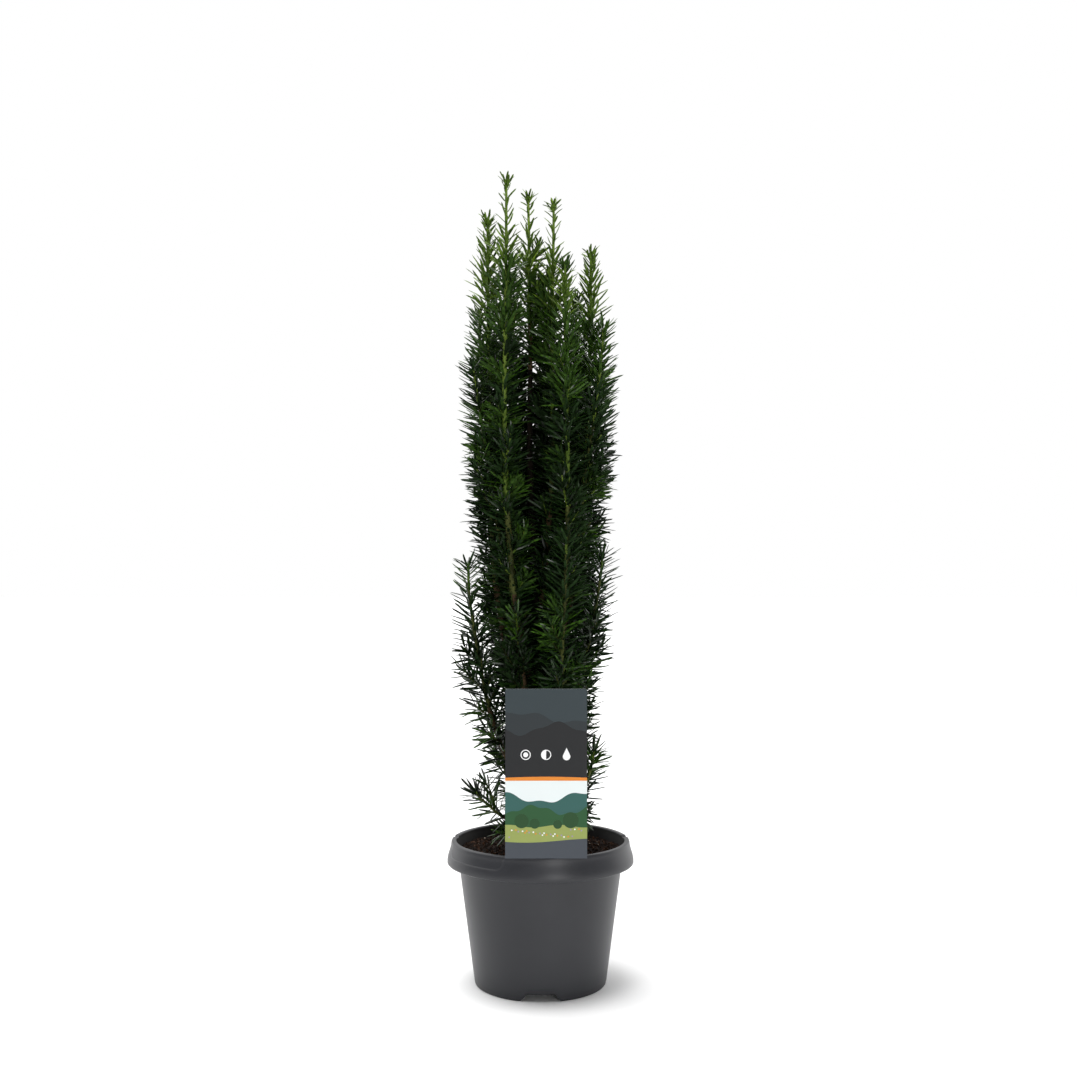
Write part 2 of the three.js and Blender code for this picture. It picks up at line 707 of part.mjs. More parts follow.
const stems = SHOOTS.map((shoot) => ({
  name: shoot.name,
  ...shootStretch(shoot, stemStart(shoot), 1, CORE.step),
}));
stems.push({ name: 'top', ...topStretch() });
for (const stem of stems) addSegments(leafySegments, stem.points, stem.radii, stem.name);

const twigsOf = stems.map((stem, k) => growTwigs(stem, stem.name, seeded(k + 1)));

stems.forEach((stem, k) => {
  const random = seeded(k + 101);
  const last = stem.points.length - 1;
  const radii = stem.points.map((point, n) => coreRadius(point, n / last, stem.radii[n], stem.name));
  const pieces = [
    leafyStem({ ...stem, radii }, stem.name, NEEDLE.inWhorl, 1, random),
    ...twigsOf[k].map((twig) => leafyStem(twig, stem.name, NEEDLE.inTwigWhorl, 0.85, random)),
  ];
  addPart(`foliage_${stem.name}`, geometryOf(mainBody(wasm.Manifold.union(pieces))), COLOUR.leaf, 0.6);
});

export default group;
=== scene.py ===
"""A young columnar yew in its round nursery pot, with a card label hooked over the lip.

Sizes are in millimetres, and a mesh is scaled to metres as it is made. The plant stands on the
floor at Z = 0 with the pot's axis on Z, and the label is at its front, -Y.
"""

import json
import math
from collections import namedtuple

import bmesh
import bpy
import numpy as np
from mathutils import Matrix, Vector, noise

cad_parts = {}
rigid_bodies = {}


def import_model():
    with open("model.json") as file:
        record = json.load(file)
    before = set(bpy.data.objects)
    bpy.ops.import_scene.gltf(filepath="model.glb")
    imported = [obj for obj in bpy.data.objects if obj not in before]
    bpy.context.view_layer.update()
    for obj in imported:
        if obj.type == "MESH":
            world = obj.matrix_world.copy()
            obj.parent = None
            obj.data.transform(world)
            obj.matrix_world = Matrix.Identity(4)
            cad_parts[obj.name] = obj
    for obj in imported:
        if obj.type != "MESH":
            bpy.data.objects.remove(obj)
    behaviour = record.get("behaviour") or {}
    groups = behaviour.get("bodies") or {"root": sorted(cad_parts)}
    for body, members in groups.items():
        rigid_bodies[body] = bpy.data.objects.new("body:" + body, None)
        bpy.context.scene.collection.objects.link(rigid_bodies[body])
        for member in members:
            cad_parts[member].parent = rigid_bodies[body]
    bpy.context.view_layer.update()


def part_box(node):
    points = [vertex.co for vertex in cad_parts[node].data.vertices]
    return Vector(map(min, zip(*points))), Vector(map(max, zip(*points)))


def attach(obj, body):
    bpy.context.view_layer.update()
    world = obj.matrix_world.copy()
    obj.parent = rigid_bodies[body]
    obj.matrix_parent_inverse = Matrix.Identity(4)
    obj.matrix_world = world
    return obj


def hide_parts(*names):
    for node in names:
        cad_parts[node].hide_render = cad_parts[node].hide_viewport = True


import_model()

# ---- Pot -----------------------------------------------------------------------------------------
# The grower's round pot is one thin shell of grey polypropylene, injection-moulded, with a
# turned-down collar to lift it by, a foot ring with three gaps, and drain holes in its floor.
# It stands on the floor and carries the compost, the plant and the label.

MM = 0.001
pot_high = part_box("pot")[1]

POT_HEIGHT = pot_high.z / MM
COLLAR_RADIUS = pot_high.x / MM
COLLAR_BOTTOM = 114.5
COLLAR_WALL = 1.8
LIP_RADIUS = 86.2
MOUTH_RADIUS = 81.5
BODY_RADIUS = 79  # outside, where the body goes in under the collar
FOOT_RADIUS = 63.5
FOOT_WIDTH = 5.5
FLOOR_UNDERSIDE = 7.5
POT_WALL = 1.8
POT_SIDES = 480

NOTCH_WIDE = 39
NOTCH_NARROW = 24
NOTCH_HEIGHT = 6.8
NOTCH_AZIMUTHS = (270, 30, 150)
FOOT_TOP = 9  # the foot ring's own height, which a notch squeezes

TAB_FROM = 196  # azimuths of the raised finger tab on the collar
TAB_TO = 247
TAB_BOTTOM = 124.5
TAB_CORNER = 8
TAB_BEAD = 1.1
TAB_RISE = 0.8
LUG_AZIMUTHS = (9, 171)  # small dips in the lip where a carrying strap clips on
LUG_WIDTH = 5
LUG_DEPTH = 1.8
LUG_ZONE = 4  # how far below the lip a dip is still felt

DRAIN_COUNT = 6
DRAIN_RADIUS = 4.5
DRAIN_FROM_AXIS = 40


def arc(centre, radius, start, end, steps):
    """The points of a round corner in a profile, between two angles in degrees."""
    angles = np.radians(np.linspace(start, end, steps + 1))
    return [(centre[0] + radius * math.cos(a), centre[1] + radius * math.sin(a)) for a in angles]


def blend(ends, share):
    """Runs evenly from the first of two values to the second."""
    return ends[0] + (ends[1] - ends[0]) * share


def straight(start, end, steps):
    """Evenly spaced points from start up to, but without, end."""
    return [blend(np.array((start, end)), share) for share in np.arange(steps) / steps]


def pot_radius(z):
    return FOOT_RADIUS + (BODY_RADIUS - FOOT_RADIUS) * z / COLLAR_BOTTOM


def pot_inner_radius(z):
    if z <= COLLAR_BOTTOM:
        return pot_radius(z) - POT_WALL
    inside = BODY_RADIUS - POT_WALL
    return inside + (MOUTH_RADIUS - inside) * (z - COLLAR_BOTTOM) / (POT_HEIGHT - COLLAR_BOTTOM)


def smooth_step(value):
    """0 up to a value of 0, 1 from a value of 1, and a smooth way between."""
    value = min(max(value, 0), 1)
    return value * value * (3 - 2 * value)


def collar_radius(z):
    """The collar's outside: an S-curve, steep under the lip and again at its lower edge."""
    share = (POT_HEIGHT - 2 - z) / (POT_HEIGHT - 2 - COLLAR_BOTTOM - 2.5)
    return LIP_RADIUS + 0.4 + (COLLAR_RADIUS - LIP_RADIUS - 0.4) * smooth_step(share)


def pot_profile():
    """Radius and height, from the middle of the underside, round the outside, to the inner floor."""
    foot_inside = FOOT_RADIUS - FOOT_WIDTH
    groove_top = COLLAR_BOTTOM + 15
    edge = COLLAR_BOTTOM + 1.5
    floor = FLOOR_UNDERSIDE + POT_WALL
    collar_heights = np.linspace(COLLAR_BOTTOM + 3, POT_HEIGHT - 2.4, 17)
    return [
        (0, FLOOR_UNDERSIDE),
        *straight((DRAIN_FROM_AXIS - 12, FLOOR_UNDERSIDE), (foot_inside - 3, FLOOR_UNDERSIDE), 6),
        *arc((foot_inside - 2.5, FLOOR_UNDERSIDE - 2), 2, 90, 0, 4),
        *straight((foot_inside - 0.4, 4.5), (foot_inside, 1), 3),
        *arc((foot_inside + 1, 1), 1, 180, 270, 3),
        *arc((FOOT_RADIUS - 1.4, 1.4), 1.4, 270, 360, 4),
        *straight((pot_radius(3), 3), (pot_radius(FOOT_TOP), FOOT_TOP), 3),
        *straight((pot_radius(FOOT_TOP), FOOT_TOP), (BODY_RADIUS, COLLAR_BOTTOM), 16),
        *straight((BODY_RADIUS, COLLAR_BOTTOM), (MOUTH_RADIUS + 0.6, groove_top - 1), 4),
        *arc((MOUTH_RADIUS + 1.2, groove_top - 1), 0.6, 180, 0, 4),
        *straight((MOUTH_RADIUS + 2, groove_top - 3), (COLLAR_RADIUS - COLLAR_WALL - 0.4, edge), 5),
        *arc((COLLAR_RADIUS - 1.4, edge), 1.5, 180, 360, 8)[:-1],
        *[(collar_radius(z), z) for z in collar_heights],
        *arc((LIP_RADIUS - 1.4, POT_HEIGHT - 1.4), 1.4, 0, 90, 5),
        *arc((MOUTH_RADIUS + 1, POT_HEIGHT - 1), 1, 90, 180, 4),
        *straight((MOUTH_RADIUS, POT_HEIGHT - 1.4), (pot_inner_radius(COLLAR_BOTTOM), COLLAR_BOTTOM), 6),
        *straight((pot_inner_radius(COLLAR_BOTTOM), COLLAR_BOTTOM), (pot_inner_radius(13), 13), 8),
        *arc((pot_inner_radius(13) - 3.7, 13), 3.7, 0, -90, 5),
        *straight((pot_inner_radius(13) - 5, floor), (DRAIN_FROM_AXIS - 12, floor), 5),
        (0, floor),
    ]


def turned(profile, sides):
    """A closed bmesh turned round Z. The profile starts and ends on the axis."""
    bm = bmesh.new()
    angles = [2 * math.pi * s / sides for s in range(sides)]
    rings = [[bm.verts.new((r * math.cos(a), r * math.sin(a), z)) for a in angles]
             for r, z in profile[1:-1]]
    low = bm.verts.new((0, 0, profile[0][1]))
    high = bm.verts.new((0, 0, profile[-1][1]))
    for s in range(sides):
        after = (s + 1) % sides
        bm.faces.new((low, rings[0][after], rings[0][s]))
        bm.faces.new((rings[-1][s], rings[-1][after], high))
        for inner, outer in zip(rings, rings[1:]):
            bm.faces.new((inner[s], inner[after], outer[after], outer[s]))
    return bm


def way_round(radius, azimuth, other):
    """How far apart two azimuths are along a circle."""
    return radius * math.radians(abs((azimuth - other + 180) % 360 - 180))


def new_object(name, data):
    """Puts a new object with the given data into the scene, at the origin."""
    made = bpy.data.objects.new(name, data)
    bpy.context.scene.collection.objects.link(made)
    return made


def piece_of(bm, name, sharp_above=40):
    """Makes a bmesh in millimetres into an object, with its edges sharp past an angle."""
    bmesh.ops.scale(bm, vec=(MM, MM, MM), verts=bm.verts)
    for edge in bm.edges:
        edge.smooth = edge.calc_face_angle(0) < math.radians(sharp_above)
    for face in bm.faces:
        face.smooth = True
    mesh = bpy.data.meshes.new(name)
    bm.to_mesh(mesh)
    bm.free()
    return new_object(name, mesh)


def plain_mesh(piece):
    """Bakes a piece's modifiers into its mesh and removes them."""
    bpy.context.view_layer.update()
    made = piece.evaluated_get(bpy.context.evaluated_depsgraph_get())
    mesh = bpy.data.meshes.new_from_object(made)
    piece.modifiers.clear()
    piece.data = mesh


def add_pot_relief(vert):
    """Moves one vertex for the foot's gaps, the dips in the lip and the tab on the collar."""
    x, y, z = vert.co
    radius = math.hypot(x, y)
    azimuth = math.degrees(math.atan2(y, x))
    if z < FOOT_TOP and radius > FOOT_RADIUS - FOOT_WIDTH - 1:
        for notch in NOTCH_AZIMUTHS:
            aside = way_round(radius, azimuth, notch)
            lift = NOTCH_HEIGHT * smooth_step((NOTCH_WIDE / 2 - aside) / ((NOTCH_WIDE - NOTCH_NARROW) / 2))
            vert.co.z = max(vert.co.z, lift + z * (FOOT_TOP - lift) / FOOT_TOP)
    if z > POT_HEIGHT - LUG_ZONE:
        for lug in LUG_AZIMUTHS:
            aside = way_round(radius, azimuth, lug)
            share = (z - POT_HEIGHT + LUG_ZONE) / LUG_ZONE
            vert.co.z -= LUG_DEPTH * share * smooth_step((LUG_WIDTH - aside) / 2)
    if z > COLLAR_BOTTOM + 4 and radius > LIP_RADIUS - 0.5:
        middle = (TAB_FROM + TAB_TO) / 2
        half = radius * math.radians((TAB_TO - TAB_FROM) / 2)
        across = way_round(radius, azimuth, middle) - half + TAB_CORNER
        down = TAB_BOTTOM - z + TAB_CORNER
        outside = math.hypot(max(across, 0), max(down, 0)) - TAB_CORNER
        outside = max(outside, min(max(across, down), 0) - TAB_CORNER)
        rise = 0.5 * TAB_RISE * smooth_step(0.5 - outside / TAB_BEAD)
        rise += 0.5 * TAB_RISE * smooth_step(1 - abs(outside) / TAB_BEAD)
        vert.co.x *= 1 + rise / radius
        vert.co.y *= 1 + rise / radius


pot_mesh = turned(pot_profile(), POT_SIDES)
for vert in pot_mesh.verts:
    add_pot_relief(vert)
pot = piece_of(pot_mesh, "pot_shell")

drill_mesh = bmesh.new()
for k in range(DRAIN_COUNT):
    angle = 2 * math.pi * (k + 0.5) / DRAIN_COUNT
    place = Vector((math.cos(angle), math.sin(angle), 0)) * DRAIN_FROM_AXIS
    place.z = FLOOR_UNDERSIDE
    bmesh.ops.create_cone(drill_mesh, cap_ends=True, segments=32, radius1=DRAIN_RADIUS,
                          radius2=DRAIN_RADIUS, depth=10, matrix=Matrix.Translation(place))
drill = piece_of(drill_mesh, "drain_drill")
drilling = pot.modifiers.new("drain holes", "BOOLEAN")
drilling.operation = "DIFFERENCE"
drilling.solver = "EXACT"
drilling.object = drill
plain_mesh(pot)
bpy.data.objects.remove(drill)


def linear(colour):
    """A plain sRGB hex colour as Blender's linear red, green, blue and alpha."""
    channels = [int(colour[k:k + 2], 16) / 255 for k in (1, 3, 5)]
    return (*[c / 12.92 if c <= 0.04045 else ((c + 0.055) / 1.055) ** 2.4 for c in channels], 1)


def add_node(tree, kind, settings=None, inputs=None):
    """Adds a node with its settings. An input takes a value, a socket, or a node's first output."""
    node = tree.nodes.new(kind)
    for name, value in (settings or {}).items():
        setattr(node, name, value)
    for name, value in (inputs or {}).items():
        if isinstance(value, bpy.types.Node):
            value = value.outputs[0]
        if isinstance(value, bpy.types.NodeSocket):
            tree.links.new(value, node.inputs[name])
        else:
            node.inputs[name].default_value = value
    return node


def finish(name, colours, patch, grain, grain_height, roughness, specular=0.5, ior=1.5,
           stretch=(1, 1, 1)):
    """A procedural finish: soft patches between two colours, and a grain that stands up in relief.

    patch and grain are the sizes of those two patterns in millimetres, and grain_height is the
    relief's. stretch draws both out where it is under 1.
    """
    material = bpy.data.materials.new(name)
    material.use_nodes = True
    tree = material.node_tree
    tree.nodes.clear()
    place = add_node(tree, "ShaderNodeTexCoord").outputs["Object"]
    place = add_node(tree, "ShaderNodeMapping", inputs={"Vector": place, "Scale": stretch})
    patches = add_node(tree, "ShaderNodeTexNoise",
                       inputs={"Vector": place, "Scale": 1 / (patch * MM), "Detail": 3})
    ramp = add_node(tree, "ShaderNodeValToRGB", inputs={"Fac": patches})
    ramp.color_ramp.elements[0].position = 0.35
    ramp.color_ramp.elements[0].color = linear(colours[0])
    ramp.color_ramp.elements[1].position = 0.65
    ramp.color_ramp.elements[1].color = linear(colours[1])
    grains = add_node(tree, "ShaderNodeTexNoise",
                      inputs={"Vector": place, "Scale": 1 / (grain * MM), "Detail": 2})
    relief = add_node(tree, "ShaderNodeBump",
                      inputs={"Height": grains, "Distance": grain_height * MM, "Strength": 1})
    surface = add_node(tree, "ShaderNodeBsdfPrincipled", inputs={
        "Base Color": ramp, "Normal": relief, "Roughness": roughness,
        "Specular IOR Level": specular, "IOR": ior})
    add_node(tree, "ShaderNodeOutputMaterial", inputs={"Surface": surface})
    return material


# Matt moulded polypropylene, greyed with carbon black: a soft sheen that brightens towards the
# pot's edges, and the fine spark-eroded grain of the mould, drawn coarser than life to show.
pot_plastic = finish(
    "moulded grey polypropylene", ("#242529", "#28292d"), patch=60, grain=0.7, grain_height=0.02,
    roughness=0.42, specular=0.4, ior=1.49,
)
# Painted shade: a near-black finish on the inside of the wall, up to the edge of the lip, for the
# shade that falls inside the pot.
painted_shade_inner_wall = finish(
    "peat film on the inner wall", ("#0c0b0a", "#171512"), patch=12, grain=0.7, grain_height=0.02,
    roughness=0.6, specular=0.25, ior=1.45,
)
SHADE_BOTTOM = 20
SHADE_TOP = POT_HEIGHT - 1.2
pot.data.materials.clear()
for material in (pot_plastic, painted_shade_inner_wall):
    pot.data.materials.append(material)
# Painted shade: the inner wall's faces between those heights take the near-black finish.
for face in pot.data.polygons:
    outward = Vector((face.center.x, face.center.y, 0))
    inside = face.normal.dot(outward) < 0 and outward.length < (MOUTH_RADIUS + 0.2) * MM
    if inside and SHADE_BOTTOM * MM < face.center.z < SHADE_TOP * MM:
        face.material_index = 1
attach(pot, "root")
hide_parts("pot")

# ---- Compost -------------------------------------------------------------------------------------
# Dark peat compost fills the pot to just under its lip. Its top is lumpy, and it is strewn with
# peat crumbs, chips of composted bark and a few pale bits. It holds the trunk and the tongue.

SOIL_TOP = 127
SOIL_CLEAR = 0.6
SOIL_LUMP = 1.5  # how far its top rises and falls
SOIL_LUMPS = ((1, 14), (0.6, 4), (0.35, 1.7))  # shares of that, and how wide such lumps are
SOIL_SIDES = 200
soil_bottom = FLOOR_UNDERSIDE + POT_WALL + 0.3


def soil_profile():
    rim = pot_inner_radius(SOIL_TOP) - SOIL_CLEAR
    return [
        (0, soil_bottom),
        (pot_inner_radius(soil_bottom) - 4, soil_bottom),
        (pot_inner_radius(soil_bottom + 4) - SOIL_CLEAR, soil_bottom + 4),
        *straight((pot_inner_radius(16) - SOIL_CLEAR, 16), (rim - 0.5, SOIL_TOP - 4), 5),
        (rim - 0.4, SOIL_TOP - 3),
        *straight((rim, SOIL_TOP - 1), (2, SOIL_TOP), 44),
        (0, SOIL_TOP),
    ]


soil_mesh = turned(soil_profile(), SOIL_SIDES)
for vert in soil_mesh.verts:
    if vert.co.z > SOIL_TOP - 2:
        lump = sum(height * noise.noise(vert.co / size) for height, size in SOIL_LUMPS)
        vert.co.z += SOIL_LUMP * lump
soil = piece_of(soil_mesh, "soil_bed", sharp_above=70)

# Damp peat: fibrous, matt and nearly black, with browner patches where it has dried.
soil.data.materials.append(finish(
    "damp peat compost", ("#0f0a07", "#241811"), patch=5, grain=1.2, grain_height=0.8,
    roughness=0.95, specular=0.1,
))
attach(soil, "root")
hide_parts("soil")


def new_shape_tree(name, sizes):
    """A Geometry Nodes tree with named inputs after its mesh, as (tree, its input node, their ids)."""
    tree = bpy.data.node_groups.new(name, "GeometryNodeTree")
    tree.interface.new_socket("Geometry", in_out="OUTPUT", socket_type="NodeSocketGeometry")
    tree.interface.new_socket("Geometry", in_out="INPUT", socket_type="NodeSocketGeometry")
    ids = {}
    for size, kind in sizes.items():
        ids[size] = tree.interface.new_socket(size, in_out="INPUT", socket_type=kind).identifier
    return tree, add_node(tree, "NodeGroupInput"), ids


def grow_on(name, mesh, tree, ids, values):
    """Runs a shape tree on a mesh, and makes its result a plain piece of its own."""
    piece = new_object(name, mesh)
    growing = piece.modifiers.new(tree.name, "NODES")
    growing.node_group = tree
    for size, value in values.items():
        growing[ids[size]] = value
    plain_mesh(piece)
    return piece


def add_copies(tree, material, inputs):
    """Sets copies of a shape on points, makes them real and gives them their material."""
    copies = add_node(tree, "GeometryNodeInstanceOnPoints", inputs=inputs)
    real = add_node(tree, "GeometryNodeRealizeInstances", inputs={0: copies})
    return add_node(tree, "GeometryNodeSetMaterial", inputs={"Geometry": real, "Material": material})


def strewing_tree():
    """Strews lumps over a mesh's upward faces within reach of the axis, turned and sized at random."""
    tree, given, ids = new_shape_tree("strewn lumps", {
        "Lump": "NodeSocketObject", "Per square metre": "NodeSocketFloat",
        "Smallest": "NodeSocketFloat", "Largest": "NodeSocketFloat",
        "Reach": "NodeSocketFloat", "Seed": "NodeSocketInt", "Finish": "NodeSocketMaterial",
    })
    place = add_node(tree, "GeometryNodeInputPosition")
    from_axis = add_node(tree, "ShaderNodeVectorMath", {"operation": "MULTIPLY"}, {0: place, 1: (1, 1, 0)})
    from_axis = add_node(tree, "ShaderNodeVectorMath", {"operation": "LENGTH"}, {0: from_axis})
    normal = add_node(tree, "GeometryNodeInputNormal")
    facing = add_node(tree, "ShaderNodeSeparateXYZ", inputs={0: normal})
    upward = add_node(tree, "FunctionNodeCompare", {"operation": "GREATER_THAN"},
                      {0: facing.outputs["Z"], 1: 0.3})
    inside = add_node(tree, "FunctionNodeCompare", {"operation": "LESS_THAN"},
                      {0: from_axis.outputs["Value"], 1: given.outputs["Reach"]})
    on_top = add_node(tree, "FunctionNodeBooleanMath", {"operation": "AND"}, {0: upward, 1: inside})
    points = add_node(tree, "GeometryNodeDistributePointsOnFaces", inputs={
        "Mesh": given.outputs["Geometry"], "Selection": on_top,
        "Density": given.outputs["Per square metre"], "Seed": given.outputs["Seed"]})
    turn = add_node(tree, "FunctionNodeRandomValue", {"data_type": "FLOAT_VECTOR"},
                    {0: (0, 0, 0), 1: (math.tau, math.tau, math.tau), "Seed": given.outputs["Seed"]})
    size = add_node(tree, "FunctionNodeRandomValue", {"data_type": "FLOAT"}, {
        2: given.outputs["Smallest"], 3: given.outputs["Largest"], "Seed": given.outputs["Seed"]})
    lump = add_node(tree, "GeometryNodeObjectInfo", inputs={"Object": given.outputs["Lump"]})
    strewn = add_copies(tree, given.outputs["Finish"], {
        "Points": points, "Instance": lump.outputs["Geometry"],
        "Rotation": turn, "Scale": size.outputs[1]})
    add_node(tree, "NodeGroupOutput", inputs={0: strewn})
    return tree, ids


strewn_tree, strewn_ids = strewing_tree()


def lump_shape(name, stretch, roughness):
    """A crumb a millimetre across, to be strewn: a ball of few faces, stretched and dented."""
    bm = bmesh.new()
    bmesh.ops.create_icosphere(bm, subdivisions=1, radius=0.5)
    for vert in bm.verts:
        vert.co *= 1 + roughness * noise.noise(vert.co * 3 + Vector(stretch))
        vert.co = Vector([value * part for value, part in zip(vert.co, stretch)])
    bmesh.ops.recalc_face_normals(bm, faces=bm.faces)
    return piece_of(bm, name, sharp_above=15)


# Each kind: its lump's proportions, how many to the square metre, its sizes and its finish.
LITTER = {
    "peat_crumbs": ((1, 0.8, 0.7), 95000, (1, 3.2), finish(
        "crumbled peat", ("#140d08", "#2a1c13"), patch=6, grain=0.6, grain_height=0.3,
        roughness=0.95, specular=0.1)),
    "bark_chips": ((1.5, 0.7, 0.3), 26000, (2, 5.5), finish(
        "composted pine bark", ("#2e1d12", "#4c3120"), patch=7, grain=0.8, grain_height=0.3,
        roughness=0.8, specular=0.2)),
    "pale_bits": ((1, 0.85, 0.8), 5000, (1, 2.1), finish(
        "grit and dried fibre", ("#8d7a68", "#b9ab9a"), patch=4, grain=0.6, grain_height=0.15,
        roughness=0.85)),
}
for seed, (name, (stretch, density, sizes, material)) in enumerate(LITTER.items(), 1):
    lump = lump_shape("one_" + name, stretch, 0.7)
    litter = grow_on(name, soil.data.copy(), strewn_tree, strewn_ids, {
        "Lump": lump, "Per square metre": density, "Smallest": sizes[0], "Largest": sizes[1],
        "Reach": (pot_inner_radius(SOIL_TOP) - SOIL_CLEAR - sizes[1] / 2) * MM,
        "Seed": seed, "Finish": material})
    bpy.data.objects.remove(lump)
    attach(litter, "root")

# ---- Label ---------------------------------------------------------------------------------------
# The plant label is a stiff plastic card in front of the lip, on a narrow tongue that is hooked
# over it and pushed down inside the pot into the compost. Its front is printed, with no words:
# hills at dusk, three care signs, an orange band, and more hills behind a meadow.

label_low, label_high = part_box("label")
CARD_LEFT = label_low.x / MM
CARD_RIGHT = label_high.x / MM
CARD_TOP = label_high.z / MM
CARD_FACE = label_low.y / MM
CARD_BOTTOM = POT_HEIGHT + 0.2
CARD_THICKNESS = 0.8
CARD_CORNER = 1.5
CARD_CLEARANCE = 8  # from its back to the nearest needle
TONGUE_WIDTH = 20
TONGUE_POINT = 0.35  # of that width, at its lower end
TONGUE_THICKNESS = 0.6
INK = 0.06  # thickness of the first printed layer, which covers the whole front
INK_STEP = 0.03  # how much prouder each further layer is

card_width = CARD_RIGHT - CARD_LEFT
card_height = CARD_TOP - CARD_BOTTOM


def join_rings(bm, rings):
    """Faces between each ring of vertices and the next, given back in that order."""
    faces = []
    for low, high in zip(rings, rings[1:]):
        for s in range(len(low)):
            after = (s + 1) % len(low)
            faces.append(bm.faces.new((low[s], low[after], high[after], high[s])))
    return faces


def add_slab(bm, outline, front, back, material_index=0):
    """A flat closed plate in the X-Z plane, from its outline, between two values of Y."""
    rings = [[bm.verts.new((x, y, z)) for x, z in outline] for y in (front, back)]
    faces = join_rings(bm, rings)
    faces += [bm.faces.new(rings[0][::-1]), bm.faces.new(rings[1])]
    for face in faces:
        face.material_index = material_index


# The card's outline, from the middles of its four round corners.
left, right = CARD_LEFT + CARD_CORNER, CARD_RIGHT - CARD_CORNER
bottom, top = CARD_BOTTOM + CARD_CORNER, CARD_TOP - CARD_CORNER
card_outline = []
for k, corner in enumerate(((right, bottom), (right, top), (left, top), (left, bottom))):
    card_outline += arc(corner, CARD_CORNER, 90 * k - 90, 90 * k, 4)

card_mesh = bmesh.new()
add_slab(card_mesh, card_outline, CARD_FACE + INK, CARD_FACE + CARD_THICKNESS)
bmesh.ops.recalc_face_normals(card_mesh, faces=card_mesh.faces)

# The tongue's path in the Y-Z plane: back over the lip, then down along the pot's wall.
tongue_path = [
    (CARD_FACE + 0.5, CARD_BOTTOM + 14), (CARD_FACE + 0.5, CARD_BOTTOM + 11),
    (CARD_FACE + 1.2, CARD_BOTTOM + 9), (-79.8, POT_HEIGHT + 0.7), (-78.6, POT_HEIGHT - 1.5),
    (-76.4, POT_HEIGHT - 7), (-72.8, COLLAR_BOTTOM - 1.5), (-69.8, 86),
]
tongue_middle = (CARD_LEFT + CARD_RIGHT) / 2
tongue_rows = []
for k, (y, z) in enumerate(tongue_path):
    half = TONGUE_WIDTH / 2 * (TONGUE_POINT if k == len(tongue_path) - 1 else 1)
    row = [(tongue_middle + side * half, y + back, z) for side, back in
           ((-1, 0), (1, 0), (1, TONGUE_THICKNESS), (-1, TONGUE_THICKNESS))]
    tongue_rows.append([card_mesh.verts.new(corner) for corner in row])
join_rings(card_mesh, tongue_rows)
card_mesh.faces.new(tongue_rows[0])
card_mesh.faces.new(tongue_rows[-1][::-1])
bmesh.ops.recalc_face_normals(card_mesh, faces=card_mesh.faces)
card = piece_of(card_mesh, "label_card", sharp_above=30)

# Rigid polypropylene sheet, printed white under a clear gloss varnish.
card.data.materials.append(finish(
    "white card stock", ("#c9cbcb", "#d3d5d5"), patch=20, grain=0.5, grain_height=0.01,
    roughness=0.35,
))
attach(card, "root")
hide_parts("label")

INKS = {
    "slate": "#2f393d", "dusk": "#272d30", "charcoal": "#1a1b1d", "white": "#eeeeee",
    "orange": "#d9822b", "sky": "#dfe6e6", "far hill": "#2f5a55", "near hill": "#24502c",
    "shrub": "#1f4421", "meadow": "#8f9a54", "path": "#41464d", "lilac": "#9a86a8",
}
ink_index = {name: k for k, name in enumerate(INKS)}


def card_point(across, up):
    """A place on the card's front, from shares of its width and height."""
    return CARD_LEFT + card_width * across, CARD_BOTTOM + card_height * up


def hills(low, base, swells):
    """The outline of a printed area from low up to a wavy skyline; base and swells are shares."""
    skyline = []
    for across in np.linspace(0, 1, 49):
        waves = [size * math.sin(math.tau * (turns * across + start)) for size, turns, start in swells]
        skyline.append(card_point(across, base + sum(waves)))
    return skyline + [card_point(1, low), card_point(0, low)]


def disc(across, up, radius, start=0, end=360):
    """The outline of a round spot, or of the part of one between two angles."""
    points = arc(card_point(across, up), radius, start, end, 24)
    return points[:-1] if end - start == 360 else points


def drop(across, up, radius):
    """A water drop: a round foot drawn up to a point."""
    x, z = card_point(across, up)
    return arc((x, z), radius, -210, 30, 18) + [(x, z + 2.3 * radius)]


# What is printed, from the card up: its layer, its ink and its outline.
PRINTED = [
    (1, "slate", card_outline),
    (2, "dusk", hills(0.60, 0.83, ((0.03, 0.8, 0.1), (0.012, 2.3, 0.3)))),
    (3, "charcoal", hills(0.458, 0.765, ((0.035, 1.1, 0.55), (0.008, 3.1, 0.2)))),
    (2, "sky", hills(0.2, 0.46, ())),
    (3, "far hill", hills(0.2, 0.36, ((0.03, 0.9, 0.35), (0.01, 2.7, 0.1)))),
    (4, "near hill", hills(0.16, 0.285, ((0.025, 1.3, 0.8), (0.008, 4.2, 0)))),
    (5, "meadow", hills(0.08, 0.19, ((0.008, 1.6, 0.2),))),
    (6, "path", hills(0, 0.105, ((0.012, 0.6, 0.6),))),
    (4, "orange", hills(0.457, 0.475, ((0.006, 0.5, 0),))),
    (4, "white", disc(0.25, 0.61, 4.6)),
    (5, "charcoal", disc(0.25, 0.61, 3.8)),
    (6, "white", disc(0.25, 0.61, 2.2)),
    (4, "white", disc(0.5, 0.61, 4.6)),
    (5, "charcoal", disc(0.5, 0.61, 3.8, -90, 90)),
    (4, "white", drop(0.75, 0.6, 3.4)),
]
for bush in ((0.2, 0.22, 6.5), (0.36, 0.205, 4.6), (0.8, 0.225, 7.2), (0.64, 0.2, 4)):
    PRINTED.append((6, "shrub", disc(*bush)))
FLOWERS = 26
FLOWER_RADIUS = 0.7
for k in range(FLOWERS):
    across = 0.05 + 0.9 * ((k * 0.618) % 1)
    up = 0.125 + 0.05 * ((k * 0.37) % 1)
    PRINTED.append((7, ("lilac", "white", "orange")[k % 3], disc(across, up, FLOWER_RADIUS)))

